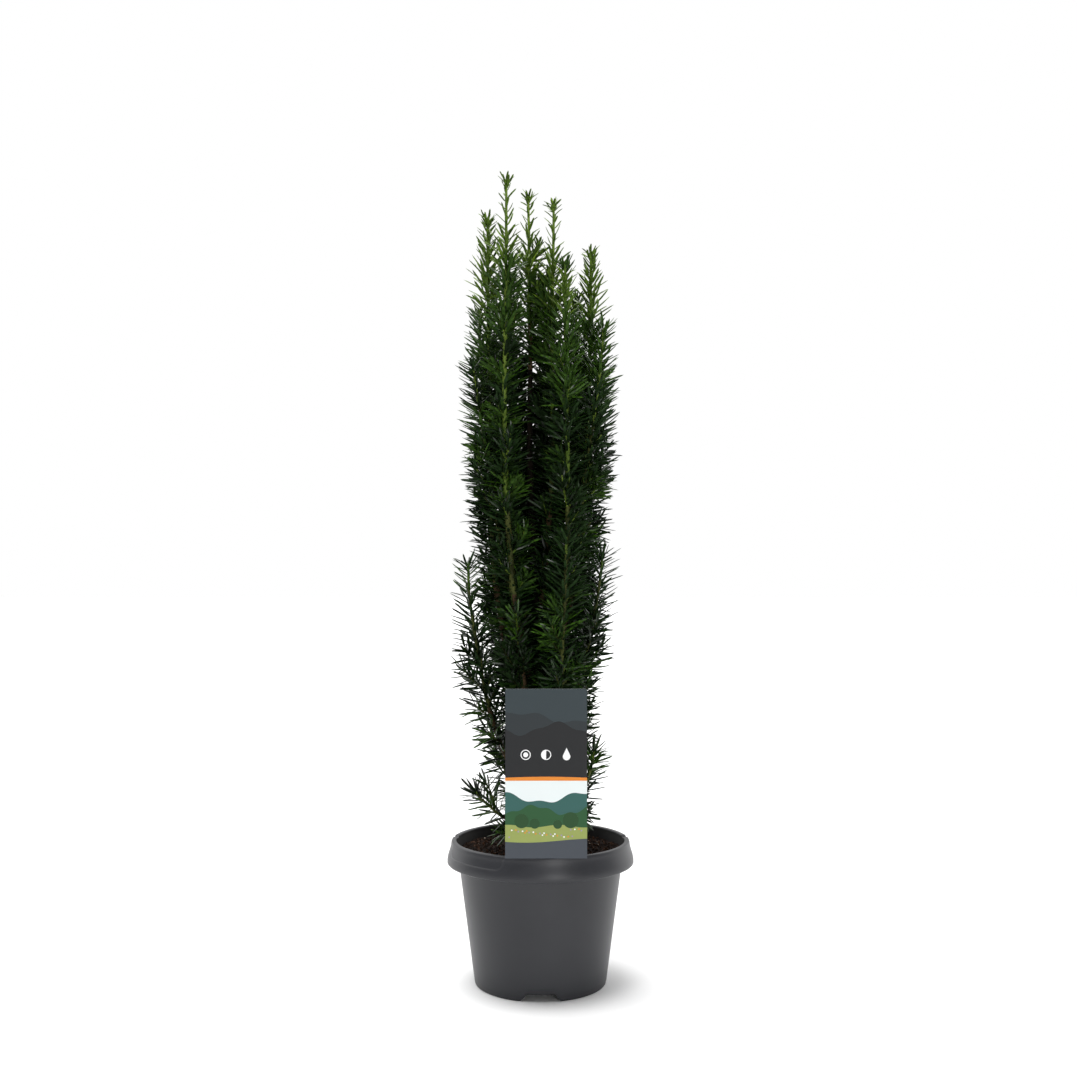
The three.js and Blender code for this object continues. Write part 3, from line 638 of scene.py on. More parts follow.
print_mesh = bmesh.new()
for layer, ink, outline in PRINTED:
    front = CARD_FACE - INK_STEP * (layer - 1)
    add_slab(print_mesh, outline, front, CARD_FACE + INK, ink_index[ink])
bmesh.ops.recalc_face_normals(print_mesh, faces=print_mesh.faces)
label_print = piece_of(print_mesh, "label_print", sharp_above=20)

# Offset printing inks under a clear varnish: even colour with a light tooth and a soft gloss.
for name, colour in INKS.items():
    label_print.data.materials.append(finish(
        f"{name} printing ink", (colour, colour), patch=9, grain=0.4, grain_height=0.004,
        roughness=0.45, specular=0.25,
    ))
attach(label_print, "root")

# ---- Trunk and boughs ----------------------------------------------------------------------------
# The trunk rises from the compost, flared at its foot, and runs up through the crown. The bare
# feet of the shoots leave it low down and soon turn upright. The wood is clad in thin brown bark
# that lifts in narrow flakes.

GAP = 0.3  # left between one piece of wood and the next
TRUNK_FOOT = (3, -1)
TRUNK_TOP = (-10, 13, 598)
LEAFY_TOP = (-12, 14, 770)
TRUNK_RADII = ((0, 0.03, 0.09, 0.35, 0.65, 1), (12, 8.8, 7.4, 5.2, 3.6, 2.2))  # by share of its height
FLARE_LOBES = 5
FLARE_DEPTH = 0.16  # of the radius, at the compost
FLARE_HEIGHT = 0.06  # of the trunk's length, where the lobes have run out
TIP_RADIUS = 1.1
RADIUS_PER_LENGTH = 0.0047  # how much a shoot thickens from its tip down
BOW = 3  # how far the trunk swings off a straight line
SWAY = 3  # how far a shoot does, half way up
SWAY_START = 2.4  # radians from one shoot's sway to the next one's
SWAY_WIND = 5  # radians that it winds on from foot to tip
BARK_LIFT = 0.09  # of the radius, how far the bark's flakes stand up

trunk_foot = SOIL_TOP + GAP
trunk_length = TRUNK_TOP[2] - trunk_foot

Shoot = namedtuple("Shoot", "name foot bare tip upright parent", defaults=("trunk",))
Path = namedtuple("Path", "points radii directions")

# Each shoot is a limb of bare wood that runs on as a leafy stem: the height at which it leaves its
# parent, the share of its length that is bare, its tip, how soon it turns upright, and its parent.
SHOOTS = [Shoot(*row) for row in (
    ("front_tall", 168, 0.13, (-33, -32, 772), 3.8),
    ("left_tall", 206, 0.13, (-52, -4, 743), 4.2),
    ("centre_tall", 330, 0.08, (13, -7, 756), 2.6),
    ("right_tall", 192, 0.15, (50, 4, 712), 2.4),
    ("front_right", 156, 0.17, (24, -34, 690), 4.4),
    ("right_upper", 226, 0.13, (61, -20, 632), 1.3),
    ("right_back", 248, 0.13, (61, 28, 598), 1.5),
    ("left_upper", 262, 0.12, (-61, 16, 655), 1.7),
    ("left_middle", 226, 0.14, (-65, -22, 592), 1.1),
    ("back_left", 184, 0.16, (-30, 42, 694), 4),
    ("back_middle", 216, 0.15, (8, 48, 663), 4),
    ("back_right", 272, 0.12, (36, 34, 673), 3.4),
    ("back_far", 236, 0.14, (-10, 68, 560), 2.4, "back_middle"),
    ("front_low", 150, 0.22, (24, -52, 428), 3),
    ("left_low", 146, 0.24, (-70, -16, 402), 2),
    ("left_low_back", 160, 0.24, (-38, 48, 450), 2.4),
    ("right_low", 143, 0.24, (60, -14, 412), 1.3),
    ("right_low_back", 174, 0.24, (44, 46, 464), 2.4),
    ("back_low", 152, 0.22, (-6, 66, 380), 2.6),
    ("foot_left", 139, 0.22, (-62, -24, 186), 1.4),
    ("foot_right", 141, 0.22, (51, -22, 224), 1.8),
    ("foot_back_left", 143, 0.22, (-40, 50, 226), 1.8),
    ("foot_back_right", 145, 0.22, (44, 46, 240), 1.8),
    ("foot_front", 148, 0.22, (-14, -56, 262), 1.8),
)]
shoot_number = {shoot.name: k for k, shoot in enumerate(SHOOTS)}


def unit(vector):
    return vector / np.linalg.norm(vector)


def trunk_point(z):
    share = (z - trunk_foot) / trunk_length
    bow = BOW * math.sin(2 * math.pi * share)
    x, y = blend(np.array((TRUNK_FOOT, TRUNK_TOP[:2])), share)
    return np.array((x + bow, y - bow, z))


def trunk_radius(z):
    return float(np.interp((z - trunk_foot) / trunk_length, *TRUNK_RADII))


def foot_of(shoot):
    """Where a shoot leaves the axis of the trunk or of its parent."""
    if shoot.parent == "trunk":
        return trunk_point(shoot.foot)
    parent = SHOOTS[shoot_number[shoot.parent]]
    return shoot_point(parent, (shoot.foot - parent.foot) / (parent.tip[2] - parent.foot))


def shoot_point(shoot, share):
    """A point on a shoot's axis. share runs from 0 at the parent's axis to 1 at the tip."""
    foot = foot_of(shoot)
    spread = 1 - max(0, 1 - share) ** shoot.upright
    turn = shoot_number[shoot.name] * SWAY_START + SWAY_WIND * share
    sway = SWAY * math.sin(math.pi * share) ** 2
    x, y, z = blend(np.array((foot, shoot.tip)), np.array((spread, spread, share)))
    return np.array((x + sway * math.cos(turn), y + sway * math.sin(turn), z))


def shoot_radius(shoot, share):
    length = np.linalg.norm(shoot_point(shoot, 0) - shoot.tip)
    return TIP_RADIUS + RADIUS_PER_LENGTH * length * (1 - share)


def shoot_stretch(shoot, start, end, step):
    """The path of part of a shoot, in steps of about step / (end - start), wider on a short part."""
    length = (end - start) * np.linalg.norm(shoot_point(shoot, start) - shoot_point(shoot, end))
    count = max(3, math.ceil(length / step))
    shares = [start + (end - start) * k / count for k in range(count + 1)]
    return Path(
        np.array([shoot_point(shoot, share) for share in shares]),
        np.array([shoot_radius(shoot, share) for share in shares]),
        np.array([unit(shoot_point(shoot, min(1, share + 0.005))
                       - shoot_point(shoot, max(0, share - 0.005))) for share in shares]),
    )


def sideways(direction, chord):
    """Two directions square to a path's direction, steady while it keeps its general heading."""
    reference = (0, 1, 0) if abs(chord[0]) > abs(chord[1]) else (1, 0, 0)
    a = unit(np.cross(direction, reference))
    return a, unit(np.cross(direction, a))


def add_tube(bm, path, sides, relief):
    """A closed tapering tube along a path. relief(angle, place) gives its height over the radius."""
    chord = path.points[-1] - path.points[0]
    rings = []
    for point, radius, direction in zip(*path):
        a, b = sideways(direction, chord)
        ring = []
        for s in range(sides):
            angle = 2 * math.pi * s / sides
            out = a * math.cos(angle) + b * math.sin(angle)
            ring.append(bm.verts.new(point + out * radius * (1 + relief(angle, point))))
        rings.append(ring)
    join_rings(bm, rings)
    bm.faces.new(rings[0][::-1])
    bm.faces.new(rings[-1])


def bark_relief(angle, point):
    """Long narrow flakes: a noise drawn out along the wood, with its dips cut sharper."""
    flake = noise.noise(Vector((2.2 * math.cos(angle), 2.2 * math.sin(angle), point[2] / 11)))
    fine = noise.noise(Vector((5 * math.cos(angle), 5 * math.sin(angle), point[2] / 4 + point[0])))
    return BARK_LIFT * (flake + 0.5 * fine - 0.6 * max(0, 0.12 - abs(flake)) / 0.12)


def trunk_relief(angle, point):
    """The bark, and under it the lobes of the trunk's foot, where its roots begin."""
    fade = max(0, 1 - (point[2] - trunk_foot) / trunk_length / FLARE_HEIGHT)
    return FLARE_DEPTH * fade * math.cos(FLARE_LOBES * angle) + bark_relief(angle, point)


def trunk_stretch(heights):
    """The trunk's path, with a point at each of the given heights."""
    return Path(np.array([trunk_point(z) for z in heights]),
                np.array([trunk_radius(z) for z in heights]), np.tile((0, 0, 1), (len(heights), 1)))


TRUNK_SIDES = 28
TRUNK_STEP = 2
BOUGH_SIDES = 14
BOUGH_STEP = 0.6  # which comes to about 4 on these short parts
UNDER_LEAVES = 0.01  # share of its length by which a bough's bark runs on under its leafy stem
wood_mesh = bmesh.new()
trunk = trunk_stretch(np.arange(trunk_foot, TRUNK_TOP[2], TRUNK_STEP))
add_tube(wood_mesh, trunk, TRUNK_SIDES, trunk_relief)
for shoot in SHOOTS:
    bough = shoot_stretch(shoot, 0, shoot.bare + UNDER_LEAVES, BOUGH_STEP)
    add_tube(wood_mesh, bough, BOUGH_SIDES, bark_relief)
wood = piece_of(wood_mesh, "trunk_and_boughs", sharp_above=60)

# Flaking yew bark, matt, with its patches drawn out along the wood. Its dark brown is darkened
# nearly to black: painted shade, for the shade of the crown around the wood.
wood.data.materials.append(finish(
    "flaking yew bark", ("#100d0a", "#201a14"), patch=7, grain=1.6, grain_height=0.6,
    roughness=0.85, specular=0.08, stretch=(1, 1, 0.3),
))
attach(wood, "root")
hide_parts("trunk", *[f"bough_{shoot.name}" for shoot in SHOOTS])

# ---- Leafy stems and twigs -----------------------------------------------------------------------
# Every bough runs on as a leafy stem, the trunk as well, and short twigs branch off it, then
# finer spurs. Each stem keeps to the space that is nearest to it. The wood is brown lower down
# and turns yellow-green towards the tips, ribbed by the feet of its needles.

CROWN_REACH = 89  # no leaf passes this far from the axis in X or Y
LIP_ZONE = 12  # in from the mouth, where leaves keep above the lip and not just the compost
LEAF_CLEAR = 2  # kept over the lip or the compost, and round the card
CORE_STEP = 42  # along a stem, from one point to the next, where only its room is reckoned
# Rules for what branches off a stem: one every so far, up to a share of its length, leaning so many
# degrees off it. radius is half the room that it is given.
TWIG = {"every": 120, "fewest": 1, "highest": 0.82, "sides_tried": 3, "length": 40, "radius": 2.6,
        "lean": 46, "lean_at_tip": 20}
SPUR = {"every": 22, "fewest": 5, "highest": 0.84, "sides_tried": 5, "length": 27, "radius": 1.2,
        "lean": 50, "lean_at_tip": 24, "below_tip": 75}
BACK_SPUR = SPUR | {"every": 12, "fewest": 8, "sides_tried": 8}  # closer at the shaded back
TWIG_PLACES = (0.35, 0.75)  # where a twig starts, in its own stretch of the stem, at random
TWIG_LENGTHS = (0.75, 1.15)  # its length at random, as a share of its rule's
TWIG_SHORTENED = 0.55  # of that, for one at the very tip of the stem
TWIG_WOOD = 1.3  # real radius at the foot of a twig, thinner than the room it is given

Segment = namedtuple("Segment", "a b ra rb owner")
wood_segments = []
leafy_segments = []


def add_segments(segments, path, owner):
    for k in range(len(path.points) - 1):
        segments.append(Segment(path.points[k], path.points[k + 1], path.radii[k], path.radii[k + 1], owner))


def distances(points, segments):
    """Distance of each point to each segment, and the share of the segment where it is nearest."""
    a = np.array([segment.a for segment in segments])
    along = np.array([segment.b for segment in segments]) - a
    offset = points[:, None, :] - a[None, :, :]
    share = np.clip((offset * along).sum(2) / (along * along).sum(1), 0, 1)
    return np.linalg.norm(offset - share[..., None] * along, axis=2), share


def inside_limits(points, half):
    """Whether points stay inside the crown's reach, above pot and compost, and behind the card."""
    x, y, z = points.T
    floor = np.where(np.hypot(x, y) > MOUTH_RADIUS - LIP_ZONE, POT_HEIGHT, SOIL_TOP)
    behind_card = ((x + half > CARD_LEFT - LEAF_CLEAR) & (x - half < CARD_RIGHT + LEAF_CLEAR)
                   & (z - half < CARD_TOP + LEAF_CLEAR))
    return ((np.maximum(abs(x), abs(y)) + half <= CROWN_REACH) & (z - half >= floor + LEAF_CLEAR)
            & ~(behind_card & (y - half < CARD_FACE + CARD_THICKNESS + CARD_CLEARANCE)))


def clear_of_wood(points, half):
    """Whether points keep a gap, and half a thickness, away from all bare wood."""
    distance, share = distances(points, wood_segments)
    ra = np.array([segment.ra for segment in wood_segments])
    rb = np.array([segment.rb for segment in wood_segments])
    return (distance - ra - (rb - ra) * share >= half + GAP).all(1)


def has_room(point, half, owner):
    """The masses' rule: a point is free where its own stems are nearer than any other's."""
    points = point[None, :]
    if not inside_limits(points, half)[0] or not clear_of_wood(points, half)[0]:
        return False
    distance = distances(points, leafy_segments)[0][0]
    own = np.array([segment.owner == owner for segment in leafy_segments])
    return distance[~own].min() > distance[own].min() + 2 * half + GAP


def seeded(seed):
    """A repeatable stream of numbers between 0 and 1."""
    state = seed * 7919 + 17

    def draw():
        nonlocal state
        state = (state * 1664525 + 1013904223) % 2 ** 32
        return state / 2 ** 32

    return draw


def span_of(values, share):
    """The value at a share of the way along a row of them."""
    place = share * (len(values) - 1)
    k = min(int(place), len(values) - 2)
    return blend(values[k:k + 2], place - k)


def length_of(path):
    return float(np.linalg.norm(np.diff(path.points, axis=0), axis=1).sum())


def leaning(direction, sides, lean, turn):
    """A direction that leans away from another, by lean radians, to the side that turn picks."""
    out = sides[0] * math.cos(turn) + sides[1] * math.sin(turn)
    return direction * math.cos(lean) + out * math.sin(lean)


def grow_twigs(stem, owner, draw, rule):
    """Twigs along a stem, each on the first side it tries where it stays in its own space."""
    twigs = []
    count = max(rule["fewest"], int(length_of(stem) // rule["every"]))
    highest = min(rule["highest"], 1 - rule.get("below_tip", 0) / length_of(stem))
    for k in range(count):
        share = highest * (k + blend(TWIG_PLACES, draw())) / count
        start = span_of(stem.points, share)
        direction = unit(span_of(stem.directions, share))
        sides = sideways(direction, direction)
        first_turn = 2 * math.pi * draw()
        length = rule["length"] * blend(TWIG_LENGTHS, draw()) * blend((1, TWIG_SHORTENED), share)
        for side in range(rule["sides_tried"]):
            turn = first_turn + 2 * math.pi * side / rule["sides_tried"]
            leaving = leaning(direction, sides, math.radians(rule["lean"]), turn)
            rising = leaning(direction, sides, math.radians(rule["lean_at_tip"]), turn)
            middle = start + leaving * length / 2
            end = middle + rising * length / 2
            if has_room(middle, rule["radius"], owner) and has_room(end, rule["radius"], owner):
                twig = Path(np.array((start, middle, end)), rule["radius"] * np.array((1, 0.9, 0.6)),
                            np.array((leaving, unit(leaving + rising), rising)))
                twigs.append(twig)
                add_segments(leafy_segments, twig, owner)
                break
    return twigs


def top_stretch(start_z, step):
    """The trunk's own leafy end, above its last bare wood."""
    start = trunk_point(TRUNK_TOP[2]) + (0, 0, start_z)
    count = math.ceil((LEAFY_TOP[2] - start[2]) / step)
    shares = np.arange(count + 1) / count
    return Path(blend((start, np.array(LEAFY_TOP)), shares[:, None]),
                blend((TRUNK_RADII[1][-1], TIP_RADIUS), shares),
                np.tile((0.0, 0.0, 1.0), (count + 1, 1)))


def stem_start(shoot):
    """The share of a shoot's length at which its leafy stem starts, a gap past its bare wood."""
    probe = 0.01
    ahead = np.linalg.norm(shoot_point(shoot, shoot.bare + probe) - shoot_point(shoot, shoot.bare))
    return shoot.bare + probe * GAP / ahead


add_segments(wood_segments, trunk_stretch(trunk_foot + trunk_length * np.arange(25) / 24), "trunk")
for shoot in SHOOTS:
    add_segments(wood_segments, shoot_stretch(shoot, 0, shoot.bare, 12), shoot.name)

stems = {shoot.name: shoot_stretch(shoot, stem_start(shoot), 1, CORE_STEP) for shoot in SHOOTS}
stems["top"] = top_stretch(GAP, (LEAFY_TOP[2] - TRUNK_TOP[2]) / 5)
for name, stem in stems.items():
    add_segments(leafy_segments, stem, name)
twigs_of = {name: [] for name in stems}
for first_seed, rule, back_rule in ((1, TWIG, TWIG), (201, SPUR, BACK_SPUR)):
    for seed, (name, stem) in enumerate(stems.items(), first_seed):
        own_rule = back_rule if name.startswith("back_") else rule
        twigs_of[name] += grow_twigs(stem, name, seeded(seed), own_rule)

# The same stems again with a point every few millimetres, for a smooth line.
STEM_STEP = 4
fine_stems = {}
for shoot in SHOOTS:
    fine_stems[shoot.name] = shoot_stretch(shoot, shoot.bare, 1, STEM_STEP * (1 - shoot.bare))
fine_stems["top"] = top_stretch(-1, STEM_STEP)


def fine_twig(twig):
    """A twig's own bend as a smooth curve, with the real thickness of its wood."""
    start, middle, end = twig.points
    shares = np.linspace(0, 1, 7)[:, None]
    points = start * (1 - shares) ** 2 + 2 * middle * shares * (1 - shares) + end * shares ** 2
    directions = np.array([unit(v) for v in (middle - start) * (1 - shares) + (end - middle) * shares])
    radii = TWIG_WOOD * (1 - 0.5 * shares[:, 0]) * min(1, twig.radii[0] / TWIG["radius"] + 0.35)
    return Path(points, radii, directions)


def rib_relief(angle, point):
    """Shallow ribs that run down from the feet of the needles."""
    return 0.09 * math.cos(5 * angle + point[2] / 6) + 0.05 * noise.noise(Vector(point) / 3)


def part_of(path, start, end):
    """A path's points between two shares of its length."""
    first, last = (round(share * (len(path.points) - 1)) for share in (start, end))
    return Path(*[values[first:last + 1] for values in path])


# What goes in pairs is for a low shoot in the shade, and for a tall one that leads the crown.
TALLNESS = (560, 740)  # a low shoot's tip is under the first height, a tall one's over the second
# A low shoot's wood stays brown and olive further up than a tall one's: in part painted shade for the shade
# low in the crown, besides the ripening from brown to green along every stem.
BROWN_WOOD = (0.3, 0.24)  # the share of its length up to which a stem is brown
OLIVE_WOOD = (0.92, 0.42)  # the share up to which it is olive, and green from there
TWIG_GREENER = 0.25  # how much further up the stem a twig's wood would belong by its colour
NEEDLE_FEET = 1.05  # how much thicker a leafy stem is for the needles' feet that clothe it
STEM_SIDES = 10
TWIG_SIDES = 6


def rise(height, heights):
    """0 below the first of two heights, 1 above the second, and a smooth way between."""
    return smooth_step((height - heights[0]) / (heights[1] - heights[0]))


def tallness_of(stem):
    """0 for a low shoot in the shade, up to 1 for one that leads the crown."""
    return rise(stem.points[-1][2], TALLNESS)


def wood_spans(stem):
    """Where a stem's brown, olive and green wood begin and end, as shares of its length."""
    brown = blend(BROWN_WOOD, tallness_of(stem))
    olive = blend(OLIVE_WOOD, tallness_of(stem))
    return (0, brown), (brown, olive), (olive, 1)


STEM_WOODS = {
    "brown_stems": ("young yew bark", ("#33291b", "#57462f"), 0.75),
    "olive_stems": ("ripening green wood", ("#2d3317", "#545a2a"), 0.65),
    "green_stems": ("fresh green wood", ("#4d6422", "#788f3a"), 0.6),
}
for number, (piece_name, (wood_name, colours, roughness)) in enumerate(STEM_WOODS.items()):
    stem_mesh = bmesh.new()
    for name, stem in fine_stems.items():
        start, end = wood_spans(stem)[number]
        clothed = stem._replace(radii=stem.radii * NEEDLE_FEET)
        add_tube(stem_mesh, part_of(clothed, start, end), STEM_SIDES, rib_relief)
        foot_z, tip_z = stem.points[0][2], stem.points[-1][2]
        for twig in twigs_of[name]:
            height = min((twig.points[0][2] - foot_z) / (tip_z - foot_z) + TWIG_GREENER, 0.99)
            if start <= height < end:
                add_tube(stem_mesh, fine_twig(twig), TWIG_SIDES, rib_relief)
    stem_piece = piece_of(stem_mesh, piece_name, sharp_above=60)
    stem_piece.data.materials.append(finish(
        wood_name, colours, patch=8, grain=0.8, grain_height=0.15,
        roughness=roughness, specular=0.15, stretch=(1, 1, 0.4),
    ))
    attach(stem_piece, "root")

# ---- Needles -------------------------------------------------------------------------------------
# Flat glossy needles stand all round each stem and twig on a spiral, level on the older wood and
# angled up towards the tips, where the last ones close into a small tuft. Each is a blade with a
# narrow foot, ridged and glossy above, flat and dull below. This year's growth is yellow-green.

NEEDLE_LENGTH = 25
NEEDLE_WIDTH = 3
NEEDLE_RIDGE = 0.9
NEEDLE_LENGTHS = (0.85, 1.15)  # a needle's length at random, as a share of its kind's
GOLDEN_TURN = math.radians(137.508)
TURN_SPREAD = 0.3  # radians over which needles stray from the spiral
FIRST_NEEDLE = 1.5  # up from the foot of a stem
LEAN = 77  # degrees off the stem, for a needle on older wood
LEAN_SPREAD = 10  # degrees over which that varies
LEVELLING = 260  # how far below its tip a stem's needles have come down to it
# What goes in pairs is for a low shoot and for a tall one again.
YOUNG_LEAN = (58, 42)  # the lean at its tip
YOUNG_SIZE = (0.76, 0.47)  # a needle's length at its tip, as a share of that on older wood
YOUNG_WIDTH = 0.75  # its width there, on any shoot
FRESHNESS = (590, 760)  # the two heights of a tip again, for the needles' age
# A low shoot's tip gets a lower age, so its needles take older, darker colours: in part painted shade, for
# the shade low in the crown.
FRESHEST = (0.12, 0.8)  # that age at its tip, 1 being all yellow-green
FRESH_LENGTH = 200  # down from the tip, to where it has faded
FRESH_REST = 0.12  # of it that is left there
TWIG_AGES = (0.08, 0.83)  # at a twig's tip, where the stem beside it has an age of 0 and of 1
TWIG_FADING = 130  # down from there, to where a twig's needles would be dark
CLOSENESS = (180, 580)  # the two heights again, for the needles' spacing
SPACING = (1.45, 0.95)  # along the stem, from one needle to the next
BACK_CROWDING = 0.6  # of that spacing, at the back, where the crown is closed against the light
OPENNESS = (740, 756)  # the two heights again, for how open the shoot's end is
OPEN_SPACING = 2.6  # the spacing near an open end
OPEN_LENGTH = 70  # of such an end
OPEN_EASING = 30  # the length over which the spacing widens to that
OPEN_YOUTH = 0.3  # how much younger it counts
TUFT_LENGTH = 3  # of a tip, that bears its tuft alone
TUFT_STEP = 0.6
TUFT_LEANS = (15, 70)
SHORTER = (1, 0.8, 0.6, 0.4)  # parts of its length that are tried before a needle is left out
NEEDLE_ROOM = 0.8  # around a needle, inside the crown's limits
WOOD_CLEAR = 0.2  # from a needle to bare wood
STEM_CLEAR = 1.4  # from a needle to the middle of another shoot's leafy stem
# For each kind of wood: its needles' size, the length of its young end and the needles in its tuft.
STEM_NEEDLES = (1, 70, 14)
TWIG_NEEDLES = (0.92, 22, 6)
SPUR_NEEDLES = (0.88, 12, 4)
# Share of a needle's length, its half width there as a share of the widest, and its ridge's height.
NEEDLE_STATIONS = ((0, 0.3, 0.7), (0.2, 0.9, 1), (0.55, 1, 1), (0.87, 0.75, 0.6))
# How far a needle's tip bends up, and to one side, as shares of its length.
NEEDLE_BENDS = ((-0.13, 0.05), (-0.03, -0.08), (0.07, 0.06), (0.16, -0.04))


def needle_shape(name, bend, aside):
    """One needle of full size along Y, ridged on its upper side, with a flag on its flat underside."""
    bm = bmesh.new()
    underside = bm.faces.layers.int.new("underside")
    rings = []
    for share, width, ridge in NEEDLE_STATIONS:
        x = aside * NEEDLE_LENGTH * share ** 2
        z = bend * NEEDLE_LENGTH * share ** 2
        y = NEEDLE_LENGTH * share
        half = NEEDLE_WIDTH / 2 * width
        rings.append([bm.verts.new(corner) for corner in (
            (x - half, y, z), (x + half, y, z), (x, y, z + NEEDLE_RIDGE * ridge))])
    tip = bm.verts.new((aside * NEEDLE_LENGTH, NEEDLE_LENGTH, bend * NEEDLE_LENGTH))
    faces = join_rings(bm, rings)
    faces += [bm.faces.new((rings[-1][side], rings[-1][(side + 1) % 3], tip)) for side in range(3)]
    for face in faces[::3]:
        face[underside] = 1
    bm.faces.new(rings[0])
    bmesh.ops.recalc_face_normals(bm, faces=bm.faces)
    return piece_of(bm, name, sharp_above=25)


needle_shapes = bpy.data.collections.new("needle shapes")
for k, (bend, aside) in enumerate(NEEDLE_BENDS):
    shape = needle_shape(f"one_needle_{k}", bend, aside)
    bpy.context.scene.collection.objects.unlink(shape)
    needle_shapes.objects.link(shape)

Needle = namedtuple("Needle", "root out up length width pick owner age")
needles = []


def add_needles(path, owner, draw, growth, age_at, tallness, spacing, openness=0):
    """The needles along a path. age_at gives their age from the way left to the tip, 1 being fresh."""
    size, young_length, tuft = growth
    young_lean = blend(YOUNG_LEAN, tallness)
    young_size = blend(YOUNG_SIZE, tallness)
    length = length_of(path)
    chord = path.points[-1] - path.points[0]
    turn = 2 * math.pi * draw()
    places = []
    travelled = FIRST_NEEDLE
    while travelled < length - TUFT_LENGTH:
        places.append(travelled / length)
        near_tip = smooth_step((OPEN_LENGTH - length + travelled) / OPEN_EASING)
        travelled += blend((spacing, OPEN_SPACING), near_tip * openness)
    loose = len(places)
    places += [1 - TUFT_STEP * k / length for k in range(tuft)]
    for number, share in enumerate(places):
        in_tuft = number >= loose
        left = length * (1 - share)
        youth = smooth_step(1 + OPEN_YOUTH * openness - left / young_length)
        turn += GOLDEN_TURN
        direction = unit(span_of(path.directions, share))
        sides = sideways(direction, chord)
        lean = blend((LEAN, young_lean), 1 - smooth_step(left / LEVELLING)) + LEAN_SPREAD * (draw() - 0.5)
        if in_tuft:
            lean = blend(TUFT_LEANS, draw())
        out = leaning(direction, sides, math.radians(lean), turn + TURN_SPREAD * (draw() - 0.5))
        side_out = leaning(direction, sides, math.pi / 2, turn)
        radius = float(span_of(path.radii, share))
        root = span_of(path.points, share) + side_out * radius * (0.3 if in_tuft else 0.7)
        shortened = blend((1, young_size), youth)
        needle_length = NEEDLE_LENGTH * size * shortened * blend(NEEDLE_LENGTHS, draw())
        needles.append(Needle(root, out, direction, needle_length, blend((1, YOUNG_WIDTH), youth),
                              draw(), owner, age_at(left)))


def stem_age(freshest):
    """The age of a stem's needles from the way left to its tip: freshest there, dark further down."""
    return lambda left: freshest * (1 - smooth_step(left / FRESH_LENGTH)) + FRESH_REST * freshest


for k, (name, stem) in enumerate(fine_stems.items()):
    draw = seeded(k + 301)
    tip_z = stem.points[-1][2]
    tallness = tallness_of(stem)
    age_at = stem_age(blend(FRESHEST, rise(tip_z, FRESHNESS)))
    spacing = blend(SPACING, rise(tip_z, CLOSENESS))
    if name.startswith("back_"):
        spacing *= BACK_CROWDING
    add_needles(stem, name, draw, STEM_NEEDLES, age_at, tallness, spacing, rise(tip_z, OPENNESS))
    for twig in twigs_of[name]:
        growth = TWIG_NEEDLES if twig.radii[0] == TWIG["radius"] else SPUR_NEEDLES
        tip_age = blend(TWIG_AGES, age_at(tip_z - twig.points[-1][2]))
        add_needles(fine_twig(twig), name, draw, growth, lambda left: tip_age * (1 - left / TWIG_FADING),
                    tallness, spacing)

roots = np.array([needle.root for needle in needles])
outs = np.array([needle.out for needle in needles])
lengths = np.array([needle.length for needle in needles])
owners = np.array([needle.owner for needle in needles])
segment_owners = np.array([segment.owner for segment in leafy_segments])
fitted = np.zeros(len(needles))
AT_ONCE = 2000  # needles that are tried together, to spare memory
for part in SHORTER:
    fits = fitted == 0
    for share in (0.5, 1):
        points = roots + outs * (lengths * part * share)[:, None]
        fits &= inside_limits(points, NEEDLE_ROOM)
        for first in range(0, len(points), AT_ONCE):
            some = slice(first, first + AT_ONCE)
            fits[some] &= clear_of_wood(points[some], WOOD_CLEAR)
            apart = distances(points[some], leafy_segments)[0]
            others = owners[some][:, None] != segment_owners[None, :]
            fits[some] &= np.where(others, apart, np.inf).min(1) > STEM_CLEAR
    fitted[fits] = lengths[fits] * part


# What each root tells of its needle, besides its place.
NEEDLE_VALUES = {"turn": "QUATERNION", "stretch": "FLOAT", "width": "FLOAT", "bend": "INT"}
NEEDLE_ROLL = 1.1  # radians, about its own length, from the least to the most


def needle_tree():
    """Sets a needle on each point, turned, stretched and picked by the point's own values."""
    tree, given, ids = new_shape_tree("needles on their roots", {
        "Needles": "NodeSocketCollection",
        "Upper side": "NodeSocketMaterial", "Underside": "NodeSocketMaterial",
    })
    shapes = add_node(tree, "GeometryNodeCollectionInfo", inputs={
        "Collection": given.outputs["Needles"], "Separate Children": True, "Reset Children": True})
    own = {}
    for value, kind in NEEDLE_VALUES.items():
        own[value] = add_node(tree, "GeometryNodeInputNamedAttribute", {"data_type": kind},
                              {"Name": value})
    size = add_node(tree, "ShaderNodeCombineXYZ",
                    inputs={"X": own["width"], "Y": own["stretch"], "Z": own["width"]})
    glossy = add_copies(tree, given.outputs["Upper side"], {
        "Points": given.outputs["Geometry"], "Instance": shapes, "Pick Instance": True,
        "Instance Index": own["bend"], "Rotation": own["turn"], "Scale": size})
    below = add_node(tree, "GeometryNodeInputNamedAttribute", {"data_type": "INT"}, {"Name": "underside"})
    both = add_node(tree, "GeometryNodeSetMaterial", inputs={
        "Geometry": glossy, "Selection": below, "Material": given.outputs["Underside"]})
    add_node(tree, "NodeGroupOutput", inputs={0: both})
    return tree, ids


needles_tree, needles_ids = needle_tree()


